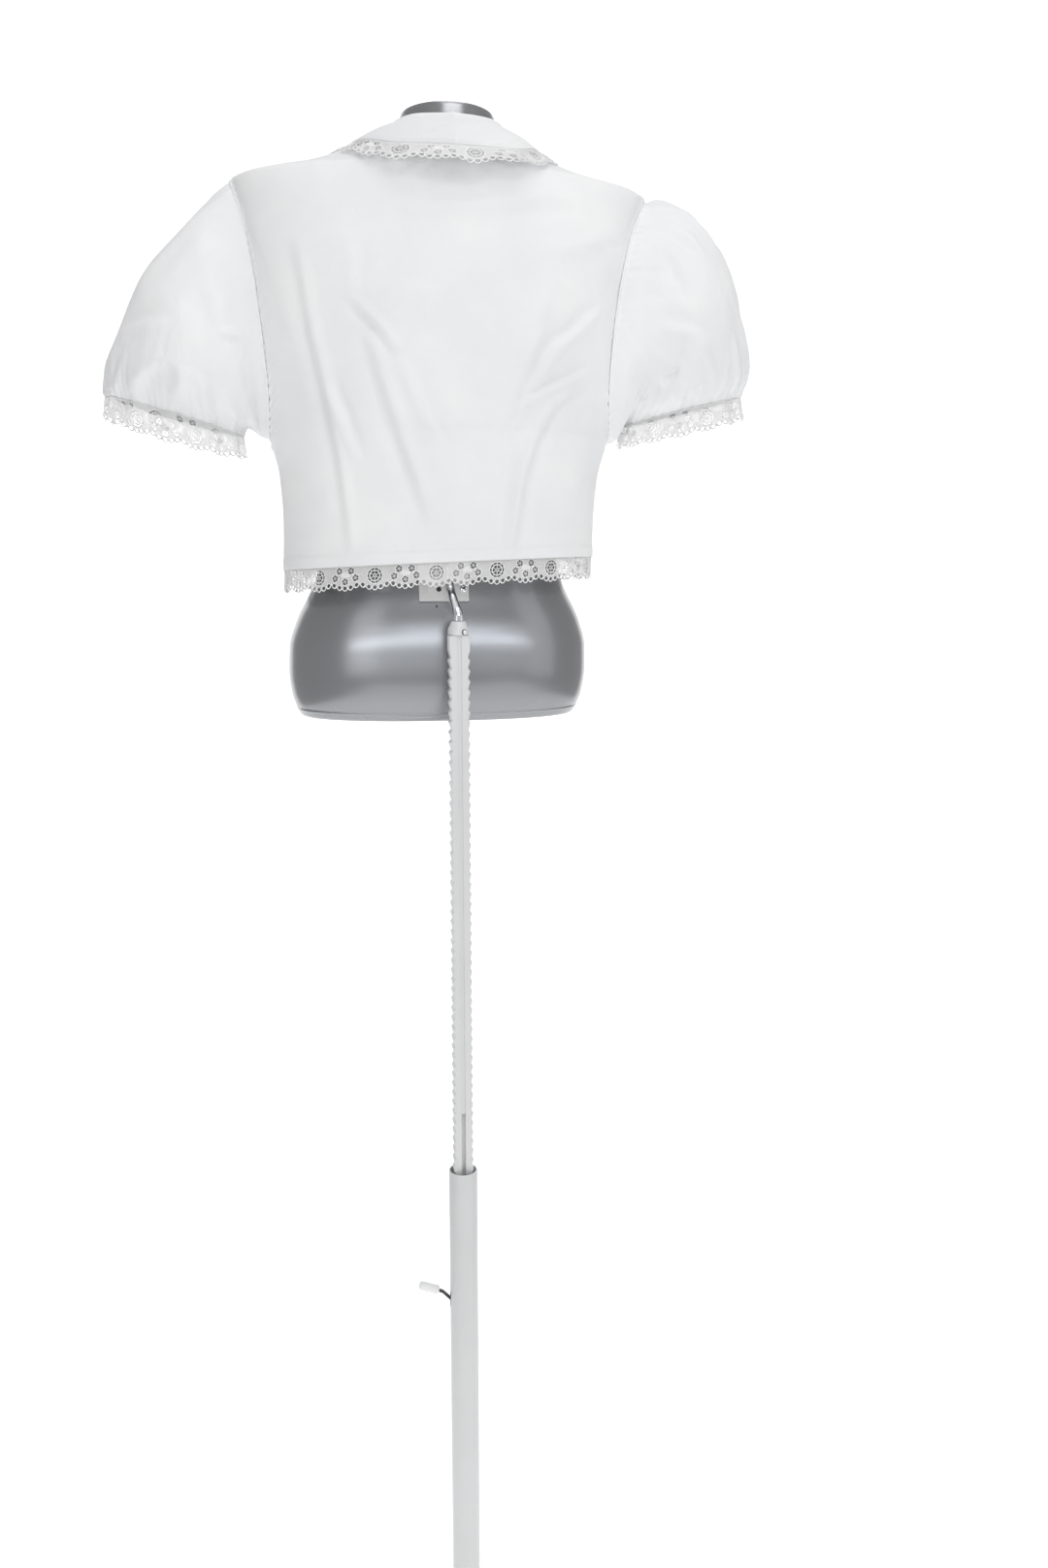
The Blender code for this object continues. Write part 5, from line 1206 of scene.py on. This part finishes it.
form = table("z halfWidth back front centreY power", [
    (1.109, 0.1470, 0.0930, 0.0950, 0.137, 2.30),
    (1.116, 0.1510, 0.0970, 0.0975, 0.137, 2.30),
    (1.132, 0.1570, 0.1025, 0.1015, 0.136, 2.30),
    (1.156, 0.1600, 0.1050, 0.1040, 0.135, 2.30),
    (1.182, 0.1593, 0.1045, 0.1030, 0.134, 2.30),
    (1.210, 0.1515, 0.1010, 0.1010, 0.132, 2.30),
    (1.255, 0.1300, 0.0900, 0.0950, 0.129, 2.25),
    (1.310, 0.1180, 0.0840, 0.0900, 0.126, 2.20),
    (1.360, 0.1210, 0.0840, 0.0940, 0.124, 2.20),
    (1.420, 0.1380, 0.0920, 0.1080, 0.122, 2.25),
    (1.480, 0.1520, 0.0990, 0.1000, 0.121, 2.30),
    (1.540, 0.1680, 0.0980, 0.0760, 0.120, 2.25),
    (1.600, 0.1860, 0.0880, 0.0500, 0.117, 2.15),
    (1.628, 0.1800, 0.0760, 0.0380, 0.115, 2.00),
    (1.6415, 0.1640, 0.0660, 0.0330, 0.112, 1.90),
    (1.6492, 0.1450, 0.0610, 0.0310, 0.110, 1.85),
    (1.6553, 0.1250, 0.0580, 0.0250, 0.107, 1.85),
    (1.6633, 0.0930, 0.0550, 0.0260, 0.100, 1.85),
    (1.6700, 0.0640, 0.0520, 0.0400, 0.092, 1.95),
    (1.6780, 0.0505, 0.0505, 0.0440, 0.087, 2.00),
    (1.697, 0.0460, 0.0460, 0.0460, 0.083, 2.00),
])


shell = {"low": 1.109, "bead": 1.1172, "beadHeight": 0.0007, "beadWidth": 0.0009, "rimDip": 0.0012,
         "rimWidth": 0.0014, "top": 1.697, "topY": 0.083, "wall": 0.0035, "innerTop": 0.93}


def makeForm(columns=132):
    # A smooth shell with a turned lower rim and a fine bead over it, and a flat neck with an eased edge.
    z = np.concatenate([np.linspace(shell["low"], 1.122, 14), np.linspace(1.125, 1.60, 72),
                        np.linspace(1.604, 1.6955, 30)])
    angle = np.linspace(0, 360, columns, endpoint=False)[None]

    def place(atAngle, atZ):
        return ringPoint(form, atAngle, atZ)

    flat = z[:, None] + 0 * angle
    inside = np.clip(flat, 1.1102, 1.6958)
    normals = outward(place, angle + 0 * flat, inside)
    outer = place(angle + 0 * flat, flat)
    bead = shell["beadHeight"] * np.exp(-((flat - shell["bead"]) / shell["beadWidth"])**2)
    bead = bead - shell["rimDip"] * np.exp(-((flat - shell["low"]) / shell["rimWidth"])**2)
    outer = outer + normals * bead[..., None]
    topMiddle = np.array([leanPerMetre * (shell["top"] - leanPivot), shell["topY"], 0])
    top = []
    for share, height in ((0.985, 1.6968), *((share, shell["top"]) for share in (0.955, 0.60, 0.25, 0.002))):
        ring = topMiddle + (outer[-1] - topMiddle) * (share, share, 0) + np.array([0, 0, height])
        top.append(ring)
    inner = outer - normals * shell["wall"]
    inner[0, :, 2] = outer[0, :, 2]
    innerTop = [ring - np.array([0, 0, shell["wall"]]) for ring in top]
    for row in innerTop:
        row[:, :2] = topMiddle[:2] + (row[:, :2] - topMiddle[:2]) * shell["innerTop"]
    outer = np.concatenate([outer, np.array(top)])
    inner = np.concatenate([inner, np.array(innerTop)])
    mesh = wallMesh("dressForm", outer, inner, True)
    piece = finishMesh("dress_form_shell", mesh, "form", satinGrey)
    mesh.set_sharp_from_angle(angle=math.radians(50))
    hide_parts("dress_form")


makeForm()
# Near-black for holes, screw recesses and the lever's slot: painted shade for openings that are not cut.
dark = finish("paintedHoleShade", (0.03, 0.03, 0.032), 0.7, vary=0.1, varySize=0.002)
# The pin hole is a thin near-black disc on the shell: painted shade, not a cut hole.
pinHoleSpot = ringPoint(form, np.array(-3.6), np.array(1.2262))
turnedBody("form_pin_hole", [(0.0012, -0.0006), (0.0012, 0.00015)], pinHoleSpot, (0.0, -1.0, 0.1), 16,
           "form", dark)


# Back plate, rod, cap and post

plate = {"x": -0.010, "halfWidth": 0.0250, "low": 1.231, "top": 1.300, "thickness": 0.0022, "corner": 0.0012,
         "screw": (0.0095, 1.2435), "hole": (-0.0152, 1.2430)}
rod = table("z x y radius", [
    (1.2128, 0.0000, 0.0000, 0.0058), (1.2160, 0.0000, 0.0000, 0.0053), (1.2208, -0.0006, 0.0032, 0.0051),
    (1.2262, -0.0017, 0.0092, 0.0048), (1.2338, -0.0031, 0.0172, 0.0046), (1.2425, -0.0045, 0.0245, 0.0043),
    (1.2520, -0.0055, 0.0275, 0.0041), (1.2640, -0.0060, 0.0285, 0.0040), (1.2700, -0.0060, 0.0293, 0.0040),
])


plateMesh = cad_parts["back_plate"].data
plateVertices = np.array([vertex.co[:] for vertex in plateMesh.vertices])
plateCorners = [plateVertices[np.abs(plateVertices[:, 2] - z) < 0.001][:, 1].min()
                for z in (plate["low"], plate["top"])]


def plateFace(z):  # the plate's outer face runs straight between its low and top edges
    share = (z - plate["low"]) / (plate["top"] - plate["low"])
    return plateCorners[0] + (plateCorners[1] - plateCorners[0]) * share


def makePlate():
    # A pressed plate with rounded corners and an eased rim, a hole with a raised rim, and a cross-head screw.
    # The hole and the screw's cross are a near-black disc and bars: painted shade.
    slope = (plateCorners[1] - plateCorners[0]) / (plate["top"] - plate["low"])
    turn = np.linspace(0, 2 * np.pi, 48, endpoint=False)
    half = np.array([plate["halfWidth"], (plate["top"] - plate["low"]) / 2])
    corner = np.stack([np.cos(turn), np.sin(turn)], axis=1)
    rings = []
    for inset, depth in ((0.0010, 0.0), (0.0004, 0.0002), (0.0, 0.0007), (0.0, plate["thickness"] - 0.0002)):
        core = half - plate["corner"]
        flat = np.sign(np.round(corner, 6)) * core + corner * (plate["corner"] - min(inset, 0.0010))
        x, z = plate["x"] + flat[:, 0], (plate["low"] + plate["top"]) / 2 + flat[:, 1]
        rings.append(np.stack([x, plateFace(z) + depth, z], axis=1))
    ringBody("back_plate_pressed", np.array(rings), "form", platePaint, ["back_plate"], sharp=30)
    axis = np.array([0.0, -1.0, slope])
    x, z = plate["screw"]
    spot = np.array([x, plateFace(z) - 0.0003, z])
    head = [(0.0034, 0.0), (0.0034, 0.0004), (0.0029, 0.0009), (0.0018, 0.0012)]
    turnedBody("plate_screw_head", head, spot, axis, 40, "form", plated, ["plate_screw"])
    axis = unit(axis)
    up = unit(np.cross((1.0, 0.0, 0.0), axis))
    # The cross recess is two near-black bars on the head: painted shade.
    bars = []
    for direction in (np.array([0.8, 0.0, 0.0]) + 0.6 * up, np.array([-0.6, 0.0, 0.0]) + 0.8 * up):
        direction = unit(direction)
        bars.append(spot + axis * 0.0013 + direction * np.array([-0.0023, 0.0023])[:, None])
    points, quads = tubes(np.array(bars), np.broadcast_to(axis, (2, 2, 3)), 0.0007, 0.4, 6)
    finishMesh("plate_screw_cross", meshFrom("screwCross", points, quads), "form", dark)
    x, z = plate["hole"]
    spot = np.array([x, plateFace(z), z])
    rim = [(0.0028, -0.0001), (0.0034, 0.0001), (0.0034, 0.0004), (0.0028, 0.0006), (0.0024, 0.0004)]
    turnedBody("plate_hole_rim", rim, spot, axis, 32, "form", platePaint)
    # Inside the rim a near-black disc: painted shade of the hole.
    turnedBody("plate_hole", [(0.0026, 0.0002), (0.0025, 0.00055)], spot, axis, 32, "form", dark)


makePlate()


def makeRod():
    # A tapering plated bar, bent up to the plate, with a groove down the side that faces out.
    z = np.linspace(1.2128, 1.2700, 60)
    centres = np.stack([column(rod, "x", z), column(rod, "y", z), z], axis=1)
    radius = column(rod, "radius", z)
    end = plateFace(1.2780) - 0.0008
    centres = np.concatenate([centres, [(-0.0060, end - 0.0035, 1.2775), (-0.0060, end, 1.2780)]])
    radius = np.concatenate([radius, [0.0036, 0.0032]])
    along = unit(np.gradient(centres, axis=0))
    side = unit(np.cross(along, (1.0, 0.0, 0.0)))
    other = np.cross(along, side)
    turn = np.linspace(0, 2 * np.pi, 48, endpoint=False)
    shape = 1 - 0.16 * np.exp(-((np.mod(turn - 0.35 + np.pi, 2 * np.pi) - np.pi) / 0.22)**2)
    rings = (centres[:, None] + radius[:, None, None] * shape[None, :, None]
             * (np.cos(turn)[None, :, None] * side[:, None] + np.sin(turn)[None, :, None] * other[:, None]))
    ringBody("hook_rod_bar", rings, "form", plated, ["hook_rod"])


makeRod()
post = {"halfWidth": 0.0104, "halfDepth": 0.0080, "low": 0.260, "top": 1.1985, "notchLow": 0.440,
        "pitch": 0.0102, "notchDepth": 0.0019, "slant": 0.28, "ease": 0.0011, "channel": 0.0021,
        "channelDepth": 0.0010, "slotTop": 0.7050, "slotDepth": 0.0045}


def makePost():
    # The section is an eased bar with a shallow channel down its back face, which is a deep slot low down.
    # Sawtooth notches cut both edges.
    count = int((post["top"] - post["notchLow"] - 0.008) / post["pitch"])
    shares = np.array([0.0, 0.10, 0.19, 0.28, 0.45, 0.65, 0.85, 0.97])
    z = (post["notchLow"] + post["pitch"] * (np.arange(count)[:, None] + shares[None])).ravel()
    into, out = shares / post["slant"], (1 - shares) / (1 - post["slant"])
    bite = np.tile(np.where(shares < post["slant"], into, out), count)
    slotEnds = [post["slotTop"] - 0.0004, post["slotTop"] + 0.0004]
    z = np.concatenate([[post["low"], post["low"] + 0.001], z, [post["top"] - 0.0006, post["top"]]])
    bite = np.concatenate([[0, 0], bite, [0, 0]]) * post["notchDepth"]
    at = np.searchsorted(z, slotEnds)
    bite = np.insert(bite, at, np.interp(slotEnds, z, bite))
    z = np.insert(z, at, slotEnds)
    w, d, e, c = post["halfWidth"], post["halfDepth"], post["ease"], post["channel"]
    depth = np.where(z < post["slotTop"], post["slotDepth"], post["channelDepth"])
    section = [(-w, e - d), (e - w, -d), (-c, -d), (-c + 0.0002, None), (c - 0.0002, None), (c, -d),
               (w - e, -d), (w, e - d), (w, 0), (w, d - e), (w - e, d), (0, d), (e - w, d), (-w, d - e),
               (-w, 0)]
    rings = np.zeros((len(z), len(section), 3))
    for place, (x, y) in enumerate(section):
        cutIn = bite if abs(x) == w else bite * (abs(x) > c)
        rings[:, place, 0] = np.sign(x) * (abs(x) - cutIn)
        rings[:, place, 1] = depth - d if y is None else y
        rings[:, place, 2] = z
    ringBody("post_bar", rings, "form", whitePaint, ["post"], sharp=25)


makePost()
capLow = post["top"] + 0.0003
capProfile = [(0.0098, 0.0), (0.0104, 0.0006), (0.0104, 0.0056), (0.0101, 0.0066), (0.0077, 0.0118),
              (0.0070, 0.0130), (0.0060, 0.0135)]
turnedBody("post_cap_moulded", capProfile, (0.0, 0.0, capLow), (0, 0, 1), 56, "form",
           whitePaint, ["post_cap"])
capAxis = unit(np.array([0.45, -0.89, 0.0]))
capSpot = capAxis * 0.0107 + np.array([0, 0, capLow + 0.0032])
capScrew = [(0.0019, 0.0), (0.0022, 0.0003), (0.0022, 0.0010), (0.0017, 0.0014)]
turnedBody("cap_screw_head", capScrew, capSpot, capAxis, 28, "form", plated, ["cap_screw"])
# A near-black disc under the screw head: painted shade of the seat it sits in.
turnedBody("cap_screw_seat", [(0.0028, -0.0012), (0.0028, 0.0001)], capSpot, capAxis, 28, "form",
           dark)


# Tube, socket, foot and lever

tubeLow, tubeTop = 0.0083, 0.6405
wall = [(0.0150, tubeLow), (0.0150, tubeTop - 0.0005), (0.0147, tubeTop), (0.0138, tubeTop),
        (0.0135, tubeTop - 0.0004), (0.0135, tubeLow)]
socket = [(0.0153, 0.0083), (0.0272, 0.0083), (0.0275, 0.0090), (0.0275, 0.0115), (0.0262, 0.0128),
          (0.0224, 0.0150), (0.0215, 0.0175), (0.0215, 0.0395), (0.0208, 0.0414), (0.0195, 0.0420),
          (0.0153, 0.0420)]
foot = [(0.1636, 0.0), (0.1647, 0.0004), (0.1650, 0.0012), (0.1650, 0.0044), (0.1640, 0.0058),
        (0.1600, 0.0076), (0.1585, 0.0080)]


def openTurned(name, profile, body, material, nodes, segments=72):
    # A turned ring with a bore: its profile closes on itself.
    rings = turnedRings(profile + profile[:1], (0, 0, 0), (0, 0, 1), segments)
    mesh = meshFrom(name, rings.reshape(-1, 3), gridFaces(len(rings), segments, True)[:, ::-1])
    piece = finishMesh(name, mesh, body, material)
    mesh.set_sharp_from_angle(angle=math.radians(35))
    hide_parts(*nodes)
    return piece


openTurned("stand_tube_drawn", wall, "stand", whitePaint, ["stand_tube"])
openTurned("base_socket_turned", socket, "stand", whitePaint, ["base_socket"], 96)
turnedBody("base_plate_pressed", foot, (0, 0, 0), (0, 0, 1), 160, "stand", whitePaint,
           ["base_plate"], sharp=50)
slotRadius = 0.01508  # just outside the tube
slotTurn = np.radians(180 + np.linspace(-9.5, 9.5, 8))
slotRows = np.linspace(0.4860, 0.5020, 6)
slotX, slotY = slotRadius * np.cos(slotTurn)[None], slotRadius * np.sin(slotTurn)[None]
slotGrid = np.stack(np.broadcast_arrays(slotX, slotY, slotRows[:, None]), axis=-1)
slotMesh = meshFrom("leverSlot", slotGrid.reshape(-1, 3), gridFaces(6, 8))
finishMesh("lever_slot_shadow", slotMesh, "stand", dark)
gripStart, gripEnd = np.array([-0.0276, 0.0, 0.5054]), np.array([-0.0475, 0.0, 0.5130])
gripLength = np.linalg.norm(gripEnd - gripStart)
gripProfile = [(0.0036, 0.0), (0.0044, 0.0006), (0.0049, 0.0020), (0.0047, 0.0060), (0.0048, 0.0140),
               (0.0049, 0.0180), (0.0045, 0.0202), (0.0037, gripLength)]
turnedBody("lever_grip_moulded", gripProfile, gripStart, gripEnd - gripStart, 40, "lever", moulded,
           ["lever_grip"])
for name, material in (("lever_strip", blackSteel), ("post_guide", moulded)):
    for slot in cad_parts[name].material_slots:
        slot.material = material
print("form and stand made")


# Floor, backdrop, light and camera

studio = {"left": -1.9, "right": 2.6, "wallY": 2.6, "bend": 0.8, "wallHeight": 3.4}


def makeBackdrop():  # a floor that bends up into a wall: a line, a quarter round and a line, carried along X
    bend = np.linspace(0, np.pi / 2, 13)
    profile = np.concatenate([
        [(-3.5, 0.0)],
        np.stack([studio["wallY"] - studio["bend"] + studio["bend"] * np.sin(bend),
                  studio["bend"] - studio["bend"] * np.cos(bend)], axis=1),
        [(studio["wallY"], studio["wallHeight"])]])
    x = np.array([studio["left"], studio["right"]])
    grid = np.stack([np.broadcast_to(x, (len(profile), 2)),
                     np.broadcast_to(profile[:, :1], (len(profile), 2)),
                     np.broadcast_to(profile[:, 1:], (len(profile), 2)) - 0.0005], axis=-1)
    mesh = meshFrom("backdrop", grid.reshape(-1, 3), gridFaces(len(profile), 2))
    mesh.shade_smooth()
    paper = finish("palePaper", (0.93, 0.93, 0.93), 0.9, vary=0.005, varySize=0.5, Emission_Strength=0.62)
    mesh.materials.append(paper)
    backdrop = bpy.data.objects.new("backdrop", mesh)
    scene.collection.objects.link(backdrop)


def areaLight(name, place, aim, width, height, power, tint=(1, 1, 1)):
    light = bpy.data.lights.new(name, "AREA")
    light.shape = "RECTANGLE"
    light.size, light.size_y, light.energy, light.color = width, height, power, tint
    lamp = bpy.data.objects.new(name, light)
    scene.collection.objects.link(lamp)
    lamp.location = place
    direction = np.array(aim, float) - np.array(place, float)
    flat = math.hypot(direction[0], direction[1])
    lamp.rotation_euler = (math.atan2(flat, -direction[2]), 0, math.atan2(-direction[0], direction[1]))
    return lamp


makeBackdrop()
areaLight("soft_key", (0.25, -1.9, 3.0), (0.0, 0.1, 1.35), 1.6, 1.0, 17)
areaLight("left_fill", (-1.5, -1.8, 1.7), (0.0, 0.1, 1.35), 1.0, 1.6, 4)
areaLight("right_fill", (1.9, -1.1, 1.6), (0.0, 0.1, 1.3), 1.0, 1.8, 3)
areaLight("top_soft", (0.1, -0.35, 3.2), (0.0, 0.05, 1.6), 1.2, 1.0, 10)
gleam = areaLight("form_gleam", (0.0, -2.3, 1.34), (0.0, 0.0, 1.19), 5.0, 0.16, 21, (0.90, 0.95, 1.0))
gleam.visible_diffuse = False  # only the lacquered form and the bright metal mirror this strip
world = bpy.data.worlds.new("paleRoom")
world.use_nodes = True
background = world.node_tree.nodes["Background"]
background.inputs["Color"].default_value = (1.0, 1.0, 1.0, 1)
background.inputs["Strength"].default_value = 0.44
scene.world = world

view = {"place": (-0.1453, -1.1929, 1.25), "downDegrees": 9.4, "turnDegrees": -10.0, "lens": 28.0,
        "sensor": 36.0}
cameraData = bpy.data.cameras.new("camera")
cameraData.lens = view["lens"]
cameraData.sensor_width = view["sensor"]
camera = bpy.data.objects.new("camera", cameraData)
camera.location = view["place"]
camera.rotation_euler = (math.radians(90 - view["downDegrees"]), 0, math.radians(view["turnDegrees"]))
scene.collection.objects.link(camera)
scene.camera = camera
scene.view_settings.view_transform = "Standard"
